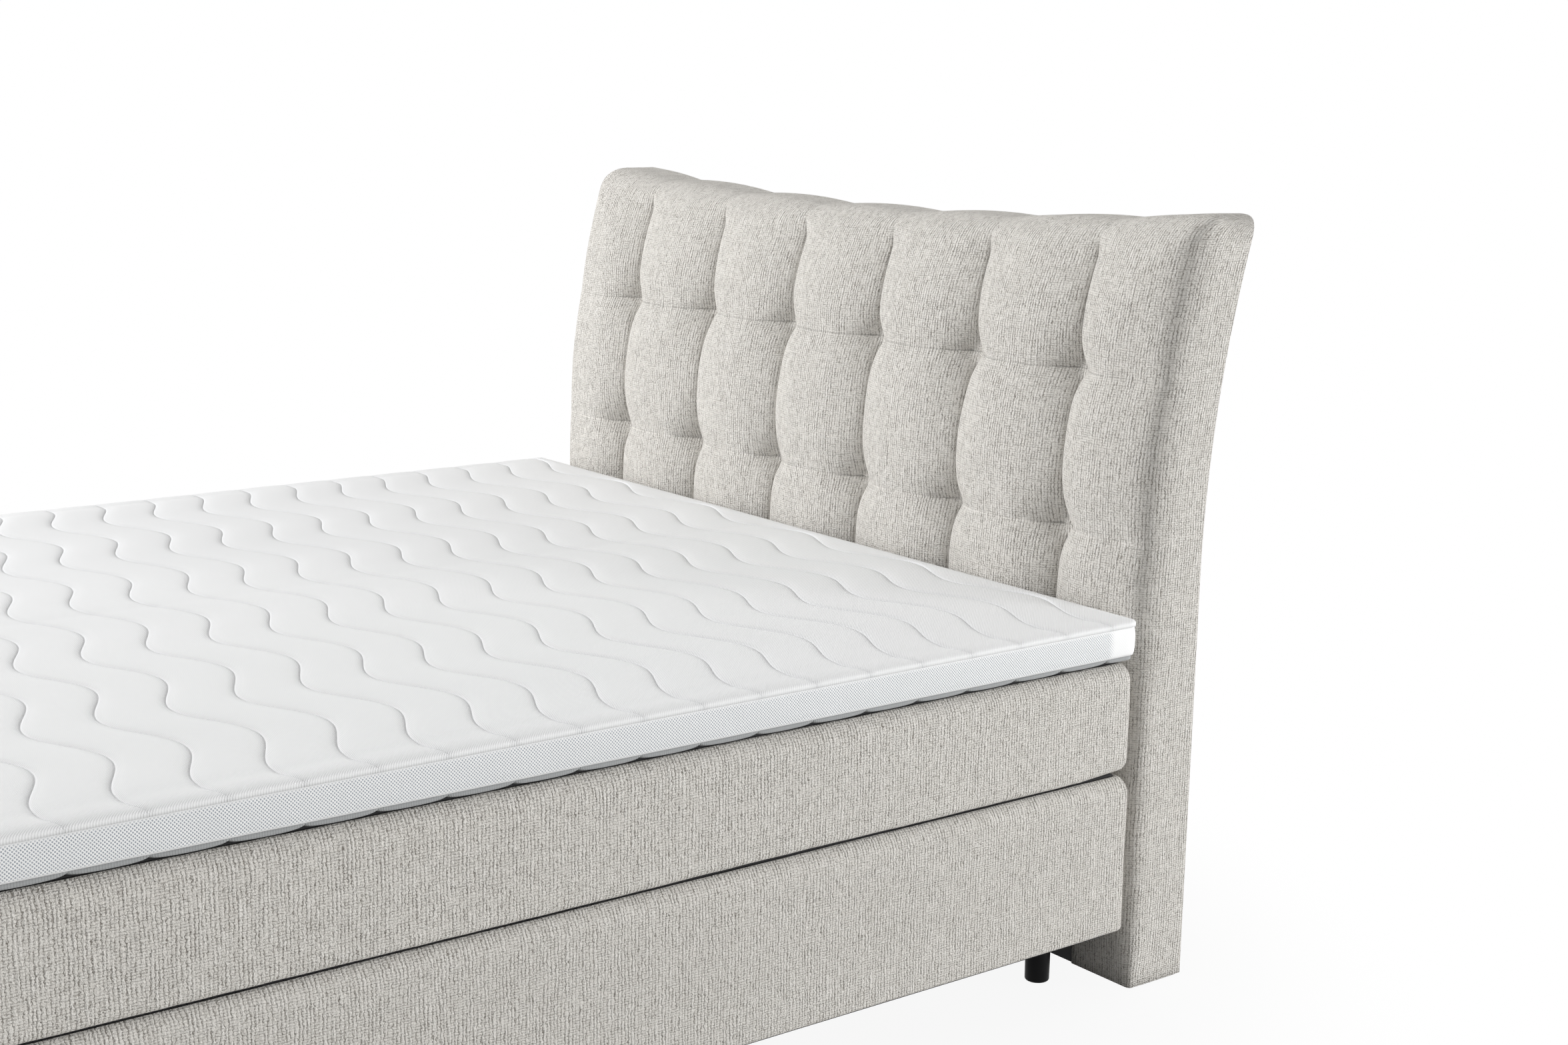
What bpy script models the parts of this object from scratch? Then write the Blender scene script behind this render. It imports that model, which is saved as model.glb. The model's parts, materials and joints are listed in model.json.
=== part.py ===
"""Box spring bed: a padded, tufted headboard, two upholstered spring boxes side by side, one
upholstered mattress and a quilted topper.

Metres, +Z up. The foot end is at -Y, the head end at +Y, and right is +X as seen from the foot end.
While it is built, y = 0 is the head end of the boxes and z = 0 is the floor. At the end one empty
moves the whole bed so that the middle of its footprint lies on the origin.
"""

import math

import bmesh
import bpy
from mathutils import Vector

# The whole bed
BED_WIDTH = 1.800
BED_LENGTH = 2.000
FLOOR_GAP = 0.120  # from the floor to the underside of the boxes
BOX_HEIGHT = 0.270
MATTRESS_HEIGHT = 0.188
PAIR_GAP = 0.004  # between the two boxes
SEAT_GAP = 0.0003  # between pieces that touch
CUT_OVERRUN = 0.010  # how far a cutter runs past what it cuts

# Boxes
BOX_CORNER = 0.040
BOX_TOP_ROUND = 0.026
BOX_LOW_ROUND = 0.006
BOX_WALL = 0.012  # fabric and its foam backing
RAIL_THICKNESS = 0.022
RAIL_HEIGHT = 0.110
BEAM_WIDTH = 0.040
BLOCK_INNER_REACH = 0.165  # from a foot's axis towards the middle beam: the bolts bite here too
BLOCK_OUTER_REACH = 0.115
BLOCK_DEPTH = 0.062
LINING_THICKNESS = 0.0015
SLAT_COUNT = 9
SLAT_WIDTH = 0.060
SLAT_THICKNESS = 0.018
SLAT_TAPE_WIDTH = 0.025
SLAT_TAPE_THICKNESS = 0.002
SLAT_TAPE_GRIP = 0.001
BOX_SPRING_PITCH = 0.080
BOX_SPRING_HEIGHT = 0.090

# Feet, and the flat bars that the inner feet clamp across the two boxes
FOOT_TOP_RADIUS = 0.0225
FOOT_LOW_RADIUS = 0.0205
FOOT_EDGE_ROUND = 0.004
FOOT_FROM_END = 0.043
FOOT_FROM_BOX_CENTRE = 0.303
STUD_RADIUS = 0.004
STUD_LENGTH = 0.035
HOLE_CLEARANCE = 0.0008
CONNECTOR_THICKNESS = 0.002
CONNECTOR_WIDTH = 0.040
CONNECTOR_MARGIN = 0.025

# Mattress
MATTRESS_CORNER = 0.045
MATTRESS_ROUND = 0.034
MATTRESS_WALL = 0.014
MATTRESS_SIDE_SWELL = 0.003
MATTRESS_FELT_THICKNESS = 0.012
MATTRESS_SPRING_PITCH = 0.065
MATTRESS_SPRING_HEIGHT = 0.120

# Topper
TOPPER_OVERHANG = 0.004
TOPPER_LOW_PANEL = 0.010
TOPPER_BAND_HEIGHT = 0.046
TOPPER_EDGE_HEIGHT = 0.005
TOPPER_PUFF = 0.009
TOPPER_PUFF_REACH = 0.045
TOPPER_CHANNEL_DEPTH = 0.006
TOPPER_CORNER = 0.050
TOPPER_BAND_THICKNESS = 0.004
QUILT_PITCH = 0.0985  # from one wavy seam to the next
QUILT_WAVE = 0.3115  # length of one wave along a seam
QUILT_SWING = 0.025  # half of the wave's height
QUILT_FIRST = 0.045  # from the head end to the middle of the first seam
QUILT_CREST = 0.070  # where a wave has its crest, from the bed's centre line
ZIP_HEIGHT = 0.006
ZIP_THICKNESS = 0.002
ZIP_END_MARGIN = 0.110
SLIDER_LENGTH = 0.012
SLIDER_HEIGHT = 0.010
SLIDER_THICKNESS = 0.0065

# Headboard: its flat places count from the head end of the boxes, before the upper part leans back
BOARD_INSET = 0.020  # narrower than the bed on each side
BOARD_END_HEIGHT = 1.280
BOARD_TOP_DIP = 0.037  # the middle of the top edge is this much lower
BOARD_TOP_CORNER = 0.030
BOARD_LOW_FRONT = 0.0505
BOARD_THICKNESS = 0.122
PADDING_CREST = 0.018
PADDING_EDGE = 0.036
PADDING_ROUND = 0.040
LEG_ROUND = 0.015
LEAN_START = 0.680
LEAN_RADIUS = 1.950
LEAN_STEP = 0.060
FLOOR_GLIDE = 0.004
COVER_SIDE = 0.004
COVER_TOP = 0.008
COVER_CLOTH = 0.003
LEG_WIDTH = 0.135
SHELF_HEIGHT = 0.430  # top of the shelf that the padding stands on
SHELF_THICKNESS = 0.019
PADDING_RISE = 0.170  # height over which the padding swells out above the shelf
PADDING_FOOT_RISE = 0.030
TUFT_PITCH = 0.2624
TUFT_ROW_PITCH = 0.262
TUFT_ROW_FROM_TOP = 0.267  # from the ends of the top edge down to the upper row
TUFT_DEPTH = 0.063
CREASE_DEPTH = 0.030
ROW_FOLD_DEPTH = 0.010
TOP_CREASE_DEPTH = 0.012
TUFT_BACKING = 0.002
FOAM_THICKNESS = 0.020
FRONT_BOARD_THICKNESS = 0.005
SIDE_BOARD_THICKNESS = 0.016
TIMBER_THICKNESS = 0.026
LEG_BOARD_THICKNESS = 0.016
BOLT_RAIL_THICKNESS = 0.022
BOLT_RAIL_HEIGHT = 0.080
BOTTOM_RAIL_HEIGHT = 0.080
TOP_RAIL_HEIGHT = 0.070
MIDDLE_POST_WIDTH = 0.045
TIE_THICKNESS = 0.0025
TIE_HEIGHT = 0.006
TIE_SLOT_CLEARANCE = 0.001
GLIDE_WIDTH = 0.013
GLIDE_MARGIN = 0.010

# Bolts that hold the headboard to the boxes
BOLT_RADIUS = 0.004
BOLT_HEAD_RADIUS = 0.010
BOLT_HEAD_THICKNESS = 0.006
BOLT_FROM_BOX_CENTRE = 0.200
BOLT_ABOVE_BOX_UNDERSIDE = 0.062
BOLT_GRIP = 0.040
SPACER_RADIUS = 0.014

# Shares of a width, a height or a length, chosen by hand
PANEL_COLUMN_SHARES = (0.0, 0.10, 0.28, 0.50, 0.72, 0.90)
OUTER_PANEL_SHARES = (0.0, 0.12, 0.34, 0.60)
ROUND_SHARES = (0.0, 0.08, 0.30, 0.62, 1.0)
ROW_NEAR_SHARE = 0.16
ROW_MIDDLE_SHARE = 0.5
TOP_ROUND_SHARES = (1.0, 0.5, 0.2)
CREASE_ACROSS_POWER = 2.4  # a higher power makes a sharper crease
CREASE_ALONG_POWER = 2.6
POCKET_DIP_SHARE = 0.125  # of a pocket's width
LOW_PANEL_SHARES = (-1.0, -0.96, 0.0, 0.96, 1.0)
LOW_SEAM_RISE_SHARE = 0.25  # of the lower panel's thickness
SLAT_TAPE_PLACE_SHARE = 0.5

# Counts
TUFT_COLUMNS = 6
DIP_SPANS = 6  # straight stretches of the headboard's top edge on each side of the middle
ROUND_STEPS = 3
CORNER_STEPS = 3
SMALL_ROUND_SIDES = 10
FOOT_SIDES = 20
WAVE_COLUMNS = 4  # per wave

# Worked out from the values above
BED_HALF = BED_WIDTH / 2
BOX_WIDTH = (BED_WIDTH - PAIR_GAP) / 2
BOX_CENTRE = (PAIR_GAP + BOX_WIDTH) / 2
BOX_TOP = FLOOR_GAP + BOX_HEIGHT
MATTRESS_LOW = BOX_TOP + SEAT_GAP
MATTRESS_TOP = MATTRESS_LOW + MATTRESS_HEIGHT
TOPPER_LOW = MATTRESS_TOP + SEAT_GAP
BAND_LOW = TOPPER_LOW + TOPPER_LOW_PANEL + SEAT_GAP
BAND_TOP = BAND_LOW + TOPPER_BAND_HEIGHT
TOP_PANEL_LOW = BAND_TOP + SEAT_GAP
TOP_SEAM = TOP_PANEL_LOW + TOPPER_EDGE_HEIGHT
TOPPER_HALF = BED_HALF + TOPPER_OVERHANG
BOARD_HALF = BED_HALF - BOARD_INSET
BOARD_BACK = BOARD_LOW_FRONT + BOARD_THICKNESS
TUFT_ROW_HIGH = BOARD_END_HEIGHT - TUFT_ROW_FROM_TOP
TUFT_ROW_LOW = TUFT_ROW_HIGH - TUFT_ROW_PITCH
TUFT_XS = [TUFT_PITCH * (i - (TUFT_COLUMNS - 1) / 2) for i in range(TUFT_COLUMNS)]
PADDING_BACK = PADDING_CREST + TUFT_DEPTH + TUFT_BACKING
FOAM_FRONT = PADDING_BACK + SEAT_GAP
FRONT_BOARD_FRONT = FOAM_FRONT + FOAM_THICKNESS + SEAT_GAP
FRAME_FRONT = FRONT_BOARD_FRONT + FRONT_BOARD_THICKNESS + SEAT_GAP
BACK_LINING_FRONT = BOARD_BACK - LINING_THICKNESS
FRAME_BACK = BACK_LINING_FRONT - SEAT_GAP
LEG_FRONT = BOARD_LOW_FRONT + COVER_CLOTH + SEAT_GAP
LEG_INNER = BOARD_HALF - LEG_WIDTH
COVER_INNER = BOARD_HALF - COVER_SIDE
SIDE_BOARD_OUTER = COVER_INNER - SEAT_GAP
SIDE_BOARD_INNER = SIDE_BOARD_OUTER - SIDE_BOARD_THICKNESS
FRAME_HALF = SIDE_BOARD_INNER - SEAT_GAP
TIMBER_LOW = FLOOR_GLIDE + SEAT_GAP
SHELF_LOW = SHELF_HEIGHT - SHELF_THICKNESS
BOLT_HEIGHT = FLOOR_GAP + BOLT_ABOVE_BOX_UNDERSIDE
BOLT_RAIL_FRONT = LEG_FRONT + LEG_BOARD_THICKNESS + SEAT_GAP
BOLT_XS = [side * (BOX_CENTRE + way * BOLT_FROM_BOX_CENTRE) for side in (-1, 1) for way in (-1, 1)]

COLOURS = {
    "upholstery": (0.71, 0.69, 0.64, 0.95, 0.0),
    "topper_knit": (0.86, 0.86, 0.86, 0.9, 0.0),
    "topper_mesh": (0.80, 0.82, 0.84, 0.9, 0.0),
    "black_lining": (0.012, 0.012, 0.013, 0.95, 0.0),
    "grey_felt": (0.30, 0.30, 0.31, 0.95, 0.0),
    "foam": (0.80, 0.76, 0.62, 0.9, 0.0),
    "pocket_fleece": (0.72, 0.73, 0.74, 0.9, 0.0),
    "pine": (0.55, 0.38, 0.20, 0.6, 0.0),
    "fibreboard": (0.36, 0.24, 0.14, 0.7, 0.0),
    "black_plastic": (0.010, 0.010, 0.011, 0.35, 0.0),
    "zinc_steel": (0.62, 0.62, 0.60, 0.35, 1.0),
    "tie_cord": (0.50, 0.48, 0.42, 0.85, 0.0),
}


def clear_scene():
    for obj in list(bpy.data.objects):
        bpy.data.objects.remove(obj, do_unlink=True)


def finish(name):
    """The finish called name, made the first time it is asked for."""
    found = bpy.data.materials.get(name)
    if found:
        return found
    red, green, blue, roughness, metallic = COLOURS[name]
    made = bpy.data.materials.new(name)
    made.use_nodes = True
    shader = made.node_tree.nodes["Principled BSDF"]
    shader.inputs["Base Color"].default_value = (red, green, blue, 1.0)
    shader.inputs["Roughness"].default_value = roughness
    shader.inputs["Metallic"].default_value = metallic
    return made


def add_piece(name, points, faces, finish_name, smooth=False):
    """A closed mesh object whose faces point out."""
    mesh = bpy.data.meshes.new(name)
    mesh.from_pydata(points, [], faces)
    shape = bmesh.new()
    shape.from_mesh(mesh)
    bmesh.ops.recalc_face_normals(shape, faces=shape.faces)
    shape.to_mesh(mesh)
    shape.free()
    piece = bpy.data.objects.new(name, mesh)
    bpy.context.scene.collection.objects.link(piece)
    mesh.materials.append(finish(finish_name))
    if smooth:
        mesh.shade_smooth()
        mesh.set_sharp_from_angle(angle=math.radians(40))
    return piece


def as_cutter(obj):
    obj.hide_render = True
    obj.display_type = "WIRE"
    return obj


def cut(piece, cutter):
    """Take the cutter's shape out of the piece."""
    modifier = piece.modifiers.new("cut " + cutter.name, "BOOLEAN")
    modifier.operation = "DIFFERENCE"
    modifier.solver = "EXACT"
    modifier.object = as_cutter(cutter)


def unite(piece, other):
    modifier = piece.modifiers.new("join " + other.name, "BOOLEAN")
    modifier.operation = "UNION"
    modifier.solver = "EXACT"
    modifier.object = as_cutter(other)


def loft(name, rings, finish_name, smooth=False):
    """A solid through a stack of rings that all have the same number of points."""
    count = len(rings[0])
    points = [point for ring in rings for point in ring]
    faces = [tuple(range(count)), tuple(range(len(points) - count, len(points)))]
    for level in range(len(rings) - 1):
        for i in range(count):
            j = (i + 1) % count
            low = level * count
            high = low + count
            faces.append((low + i, low + j, high + j, high + i))
    return add_piece(name, points, faces, finish_name, smooth)


def sheet_faces(columns, rows):
    """The faces of a grid of points, stored column by column, and the points round its rim."""
    faces = []
    for i in range(columns - 1):
        for j in range(rows - 1):
            a = i * rows + j
            b = a + rows
            faces.append((a, b, b + 1, a + 1))
    rim = [i * rows for i in range(columns)]
    rim += [(columns - 1) * rows + j for j in range(1, rows)]
    rim += [i * rows + rows - 1 for i in range(columns - 2, -1, -1)]
    rim += list(range(rows - 2, 0, -1))
    return faces, rim


def grid_solid(name, front, back, finish_name):
    """A solid between two grids of points of the same size."""
    points = [point for column in front + back for point in column]
    size = len(points) // 2
    faces, rim = sheet_faces(len(front), len(front[0]))
    faces += [tuple(size + corner for corner in reversed(face)) for face in faces]
    for here, there in zip(rim, rim[1:] + rim[:1]):
        faces.append((here, size + here, size + there, there))
    return add_piece(name, points, faces, finish_name)


def walled_sheet(grid, moved):
    """A grid, a copy of its rim where moved puts it, and the walls between: points, faces, rim, copies."""
    points = [point for column in grid for point in column]
    faces, rim = sheet_faces(len(grid), len(grid[0]))
    copies = {}
    for here in rim:
        copies[here] = len(points)
        points.append(moved(*points[here]))
    for here, there in zip(rim, rim[1:] + rim[:1]):
        faces.append((here, copies[here], copies[there], there))
    return points, faces, rim, copies


def plated_solid(name, front, back_y, finish_name):
    """A solid from a grid of front points to a plain back, which has only the grid's rim."""
    columns = len(front)
    rows = len(front[0])
    points, faces, _, back = walled_sheet(front, lambda x, y, z: (x, back_y(z), z))
    for j in range(rows - 1):
        left = [back[j], back[j + 1]]
        right = [back[(columns - 1) * rows + j + 1], back[(columns - 1) * rows + j]]
        middle_top = [back[i * rows + rows - 1] for i in range(1, columns - 1)]
        middle_low = [back[i * rows] for i in range(columns - 2, 0, -1)]
        strip = left + (middle_top if j == rows - 2 else []) + right
        faces.append(tuple(strip + (middle_low if j == 0 else [])))
    return add_piece(name, points, faces, finish_name, smooth=True)


def add_bars(name, bars, finish_name):
    """One mesh of separate bars, each from its eight corners: four round one end, four round the other."""
    points = []
    faces = []
    for bar in bars:
        first = len(points)
        points += bar
        for face in ((0, 1, 2, 3), (7, 6, 5, 4), (0, 4, 5, 1), (1, 5, 6, 2), (2, 6, 7, 3), (3, 7, 4, 0)):
            faces.append(tuple(first + k for k in face))
    return add_piece(name, points, faces, finish_name)


def block(name, low, high, finish_name):
    """A plain box with its own centre as its origin."""
    centre = (Vector(low) + Vector(high)) / 2
    half = (Vector(high) - Vector(low)) / 2
    shape = bmesh.new()
    bmesh.ops.create_cube(shape, size=2)
    bmesh.ops.scale(shape, vec=half, verts=shape.verts)
    mesh = bpy.data.meshes.new(name)
    shape.to_mesh(mesh)
    shape.free()
    mesh.materials.append(finish(finish_name))
    piece = bpy.data.objects.new(name, mesh)
    piece.location = centre
    bpy.context.scene.collection.objects.link(piece)
    return piece


def turned(name, profile, finish_name, sides, place, along_y=False):
    """A round solid from (radius, height) points, lowest first. Its axis is Z, or Y if along_y."""
    rings = []
    for radius, height in profile:
        ring = []
        for k in range(sides):
            angle = 2 * math.pi * k / sides
            across = radius * math.cos(angle)
            other = radius * math.sin(angle)
            ring.append((across, height, -other) if along_y else (across, other, height))
        rings.append(ring)
    piece = loft(name, rings, finish_name, smooth=True)
    piece.location = place
    return piece


def plan_ring(half_x, half_y, corner, z, centre, side_steps=(1, 1)):
    """A rounded rectangle at height z. side_steps are the spans on the X and Y sides."""
    corner = min(corner, half_x, half_y)
    points = []
    for quarter, (sign_x, sign_y) in enumerate(((1, 1), (-1, 1), (-1, -1), (1, -1))):
        middle_x = sign_x * (half_x - corner)
        middle_y = sign_y * (half_y - corner)
        for step in range(CORNER_STEPS + 1):
            angle = (quarter + step / CORNER_STEPS) * math.pi / 2
            points.append((middle_x + corner * math.cos(angle), middle_y + corner * math.sin(angle)))
        spans = side_steps[quarter % 2]
        start = Vector(points[-1])
        turn = Vector((-start.x, start.y)) if quarter % 2 == 0 else Vector((start.x, -start.y))
        for step in range(1, spans):
            between = start.lerp(turn, step / spans)
            points.append((between.x, between.y))
    return [(centre[0] + x, centre[1] + y, z) for x, y in points]


def soft_block(name, centre, half_x, half_y, z_low, z_high, corner, rounds, swell, finish_name):
    """A block with rounded edges (rounds: lower, upper), whose sides swell by swell halfway up."""
    low_round, high_round = rounds
    spans = (3, 6)
    rings = []

    def ring(inset, z):
        rings.append(plan_ring(half_x - inset, half_y - inset, corner - inset, z, centre, spans))

    for step in range(ROUND_STEPS):
        angle = math.pi / 2 * step / ROUND_STEPS
        ring(swell + low_round * (1 - math.sin(angle)), z_low + low_round * (1 - math.cos(angle)))
    ring(swell, z_low + low_round)
    if swell:
        ring(0, (z_low + z_high) / 2)
    for step in range(ROUND_STEPS + 1):
        angle = math.pi / 2 * step / ROUND_STEPS
        ring(swell + high_round * (1 - math.cos(angle)), z_high - high_round * (1 - math.sin(angle)))
    return loft(name, rings, finish_name, smooth=True)


def plan_block(name, centre, half_x, half_y, z_low, z_high, corner, finish_name):
    """A block with upright rounded corners and flat faces."""
    rings = [plan_ring(half_x, half_y, corner, z, centre) for z in (z_low, z_high)]
    return loft(name, rings, finish_name)


def pocket_block(name, centre, half_x, half_y, z_low, z_high, pitch, finish_name):
    """A pocket spring core: its outline follows the round outer pockets, one every pitch."""
    across = max(2, round(2 * half_x / pitch))
    along = max(2, round(2 * half_y / pitch))
    outline = []
    sides = (
        ((-half_x, -half_y), (1, 0), 2 * half_x, across),
        ((half_x, -half_y), (0, 1), 2 * half_y, along),
        ((half_x, half_y), (-1, 0), 2 * half_x, across),
        ((-half_x, half_y), (0, -1), 2 * half_y, along),
    )
    for (start_x, start_y), (way_x, way_y), length, count in sides:
        step = length / count
        dip = step * POCKET_DIP_SHARE
        for k in range(count):
            for share, inset in ((0.0, dip), (0.5, 0.0)):
                travel = step * (k + share)
                corner_inset = inset if k or share else 0.0
                x = start_x + way_x * travel - way_y * corner_inset
                y = start_y + way_y * travel + way_x * corner_inset
                outline.append((centre[0] + x, centre[1] + y))
    rings = [[(x, y, z) for x, y in outline] for z in (z_low, z_high)]
    return loft(name, rings, finish_name)


def rod_cutter(name, radius, start, end):
    """A round cutter along Z or Y from start to end."""
    along_y = abs(end[1] - start[1]) > abs(end[2] - start[2])
    length = (end[1] - start[1]) if along_y else (end[2] - start[2])
    profile = [(radius, 0.0), (radius, length)]
    return turned(name, profile, "zinc_steel", SMALL_ROUND_SIDES, start, along_y)


# The lean of the headboard's upper part, and its outline


def lean_knot(k):
    rise = k * LEAN_STEP
    return LEAN_RADIUS - math.sqrt(max(0.0, LEAN_RADIUS**2 - rise**2))


def lean(z):
    """How far back the headboard lies at height z: short straight stretches along an arc."""
    if z <= LEAN_START:
        return 0.0
    place = (z - LEAN_START) / LEAN_STEP
    k = math.floor(place)
    return lean_knot(k) + (place - k) * (lean_knot(k + 1) - lean_knot(k))


def dipped_height(x):
    return BOARD_END_HEIGHT - BOARD_TOP_DIP * (1 - (x / BOARD_HALF) ** 2)


def top_edge_knots():
    """(x, height) where the headboard's top edge changes its slope, from the middle to the right side."""
    straight = BOARD_HALF - BOARD_TOP_CORNER
    knots = []
    for k in range(DIP_SPANS):
        x = straight * k / DIP_SPANS
        knots.append((x, dipped_height(x)))
    for step in range(CORNER_STEPS + 1):
        angle = math.pi / 2 * step / CORNER_STEPS
        x = straight + BOARD_TOP_CORNER * math.sin(angle)
        knots.append((x, dipped_height(x) - BOARD_TOP_CORNER * (1 - math.cos(angle))))
    return knots


TOP_KNOTS = top_edge_knots()


def board_top(x):
    """Height of the headboard's top edge at x: it dips in the middle, and its corners are round."""
    for (near_x, near_z), (far_x, far_z) in zip(TOP_KNOTS, TOP_KNOTS[1:]):
        if abs(x) <= far_x:
            return near_z + (far_z - near_z) * (abs(x) - near_x) / (far_x - near_x)
    return TOP_KNOTS[-1][1]


def with_top_knots(xs):
    """These columns, and those between them where the top edge changes its slope."""
    columns = sorted(xs)
    for knot, _ in TOP_KNOTS:
        for x in (-knot, knot):
            apart = min(abs(x - other) for other in columns)
            if columns[0] < x < columns[-1] and apart > SEAT_GAP:
                columns = sorted(columns + [x])
    return columns


def lean_levels(low, high):
    """The heights between low and high at which the lean changes its slope."""
    levels = []
    k = 0
    while LEAN_START + k * LEAN_STEP < high - LEAN_STEP / 8:
        level = LEAN_START + k * LEAN_STEP
        if level > low + LEAN_STEP / 8:
            levels.append(level)
        k += 1
    return levels


def leaning_board(name, xs, low, high_at, front_at, back_at, finish_name):
    """A board that follows the lean. high_at(x), front_at(z) and back_at(z) give its limits."""
    levels = [low] + lean_levels(low, min(high_at(x) for x in xs))
    front = []
    back = []
    for x in xs:
        heights = levels + [high_at(x)]
        front.append([(x, front_at(z) + lean(z), z) for z in heights])
        back.append([(x, back_at(z) + lean(z), z) for z in heights])
    return grid_solid(name, front, back, finish_name)


# The tufted padding


def edge_fall(distance, radius):
    """How far a rounded edge has fallen at this distance inside it."""
    within = min(radius, max(0.0, radius - distance))
    return radius - math.sqrt(radius**2 - within**2)


def pillow(x, z):
    """How far the padding is drawn in at (x, z), from the crest of its pillows."""
    near_column = min(abs(x - column) for column in TUFT_XS)
    near_row = min(abs(z - TUFT_ROW_LOW), abs(z - TUFT_ROW_HIGH))
    half = TUFT_PITCH / 2
    half_row = TUFT_ROW_PITCH / 2
    across = (1 - min(1.0, near_column / half)) ** CREASE_ACROSS_POWER
    along = (1 - min(1.0, near_row / half_row)) ** CREASE_ALONG_POWER
    crease = CREASE_DEPTH
    above = (z - TUFT_ROW_HIGH - half_row) / (TUFT_ROW_FROM_TOP - half_row)
    if above > 0:
        crease += (TOP_CREASE_DEPTH - CREASE_DEPTH) * min(1.0, above)
    tuft = TUFT_DEPTH - CREASE_DEPTH - ROW_FOLD_DEPTH
    return crease * across + ROW_FOLD_DEPTH * along + tuft * across * along


def padding_swell(z):
    """0 on the plain lower part, 1 where the padding has its full thickness."""
    share = (z - SHELF_HEIGHT - PADDING_FOOT_RISE) / PADDING_RISE
    share = min(1.0, max(0.0, share))
    return share * share * (3 - 2 * share)


def padding_front(x, z):
    """The y of the cover's outer face before the lean."""
    swell = padding_swell(z)
    top = board_top(x)
    radius = LEG_ROUND + (PADDING_ROUND - LEG_ROUND) * swell
    from_side = max(0.0, radius - (BOARD_HALF - abs(x)))
    from_top = max(0.0, radius - (top - z))
    edge = edge_fall(radius - min(radius, math.hypot(from_side, from_top)), radius)
    open_share = min(1.0, min(BOARD_HALF - abs(x), top - z) / (2 * PADDING_ROUND))
    crest = PADDING_EDGE + (PADDING_CREST - PADDING_EDGE) * open_share
    full = crest + pillow(x, z) * open_share + edge
    return (BOARD_LOW_FRONT + edge) * (1 - swell) + full * swell


def cover_columns():
    first = TUFT_XS[0]
    outer = BOARD_HALF + first
    xs = [-BOARD_HALF + PADDING_ROUND * share for share in ROUND_SHARES]
    reach = outer - PADDING_ROUND
    xs += [first - reach * share for share in reversed(OUTER_PANEL_SHARES)][:-1]
    for i in range(TUFT_COLUMNS - 1):
        xs += [TUFT_XS[i] + TUFT_PITCH * share for share in PANEL_COLUMN_SHARES]
    last = TUFT_XS[-1]
    xs += [last + reach * share for share in OUTER_PANEL_SHARES]
    xs += [BOARD_HALF - PADDING_ROUND * share for share in reversed(ROUND_SHARES)]
    return xs


def cover_rows():
    near = TUFT_ROW_PITCH * ROW_NEAR_SHARE
    rows = [FLOOR_GLIDE, SHELF_HEIGHT, SHELF_HEIGHT + PADDING_FOOT_RISE]
    rows += [SHELF_HEIGHT + PADDING_FOOT_RISE + PADDING_RISE * ROW_MIDDLE_SHARE]
    rows += [SHELF_HEIGHT + PADDING_FOOT_RISE + PADDING_RISE]
    for row in (TUFT_ROW_LOW, TUFT_ROW_HIGH):
        rows += [row - near, row, row + near]
        rows += [row + TUFT_ROW_PITCH * ROW_MIDDLE_SHARE]
    return sorted(rows)


def make_headboard_cover():
    rows = cover_rows()
    front = []
    for x in cover_columns():
        top = board_top(x)
        heights = rows + [top - PADDING_ROUND * share for share in TOP_ROUND_SHARES] + [top]
        front.append([(x, padding_front(x, z) + lean(z), z) for z in heights])
    cover = plated_solid("headboard_cover", front, lambda z: BOARD_BACK + lean(z), "upholstery")
    inner_round = LEG_ROUND - COVER_CLOTH
    rounding = [COVER_INNER - inner_round * share for share in ROUND_SHARES]
    xs = with_top_knots([-x for x in rounding] + rounding)
    levels = [FLOOR_GLIDE - CUT_OVERRUN, SHELF_HEIGHT, SHELF_HEIGHT + SEAT_GAP]
    levels += lean_levels(SHELF_HEIGHT, board_top(0.0) - COVER_TOP)
    inside = []
    behind = []
    for x in xs:
        heights = levels + [board_top(x) - COVER_TOP]
        fall = edge_fall(COVER_INNER - abs(x), inner_round)
        low_front = BOARD_LOW_FRONT + COVER_CLOTH
        inside.append([
            (x, (low_front if z <= SHELF_HEIGHT else PADDING_BACK) + fall + lean(z), z) for z in heights
        ])
        behind.append([(x, BOARD_BACK + CUT_OVERRUN + lean(z), z) for z in heights])
    cut(cover, grid_solid("headboard_cavity", inside, behind, "upholstery"))
    gap_low = (-LEG_INNER, BOARD_LOW_FRONT - CUT_OVERRUN, -CUT_OVERRUN)
    gap_high = (LEG_INNER, LEG_FRONT + CUT_OVERRUN, SHELF_LOW)
    cut(cover, block("headboard_leg_gap", gap_low, gap_high, "upholstery"))


def make_tuft_tie(name, row_height):
    """One cord behind the board, with a loop forward through the foam at every tuft."""
    back = FRAME_FRONT + TIE_THICKNESS
    tip = PADDING_BACK + SEAT_GAP
    half = TIE_THICKNESS / 2
    outline = []
    for x in TUFT_XS:
        outline += [(x - half, FRAME_FRONT), (x - half, tip), (x + half, tip), (x + half, FRAME_FRONT)]
    outline[0] = (TUFT_XS[0] - half, back)
    outline[-1] = (TUFT_XS[-1] + half, back)
    rings = []
    for side in (-1, 1):
        z = row_height + side * TIE_HEIGHT / 2
        rings.append([(x, y + lean(z), z) for x, y in outline])
    loft(name, rings, "tie_cord")


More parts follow.
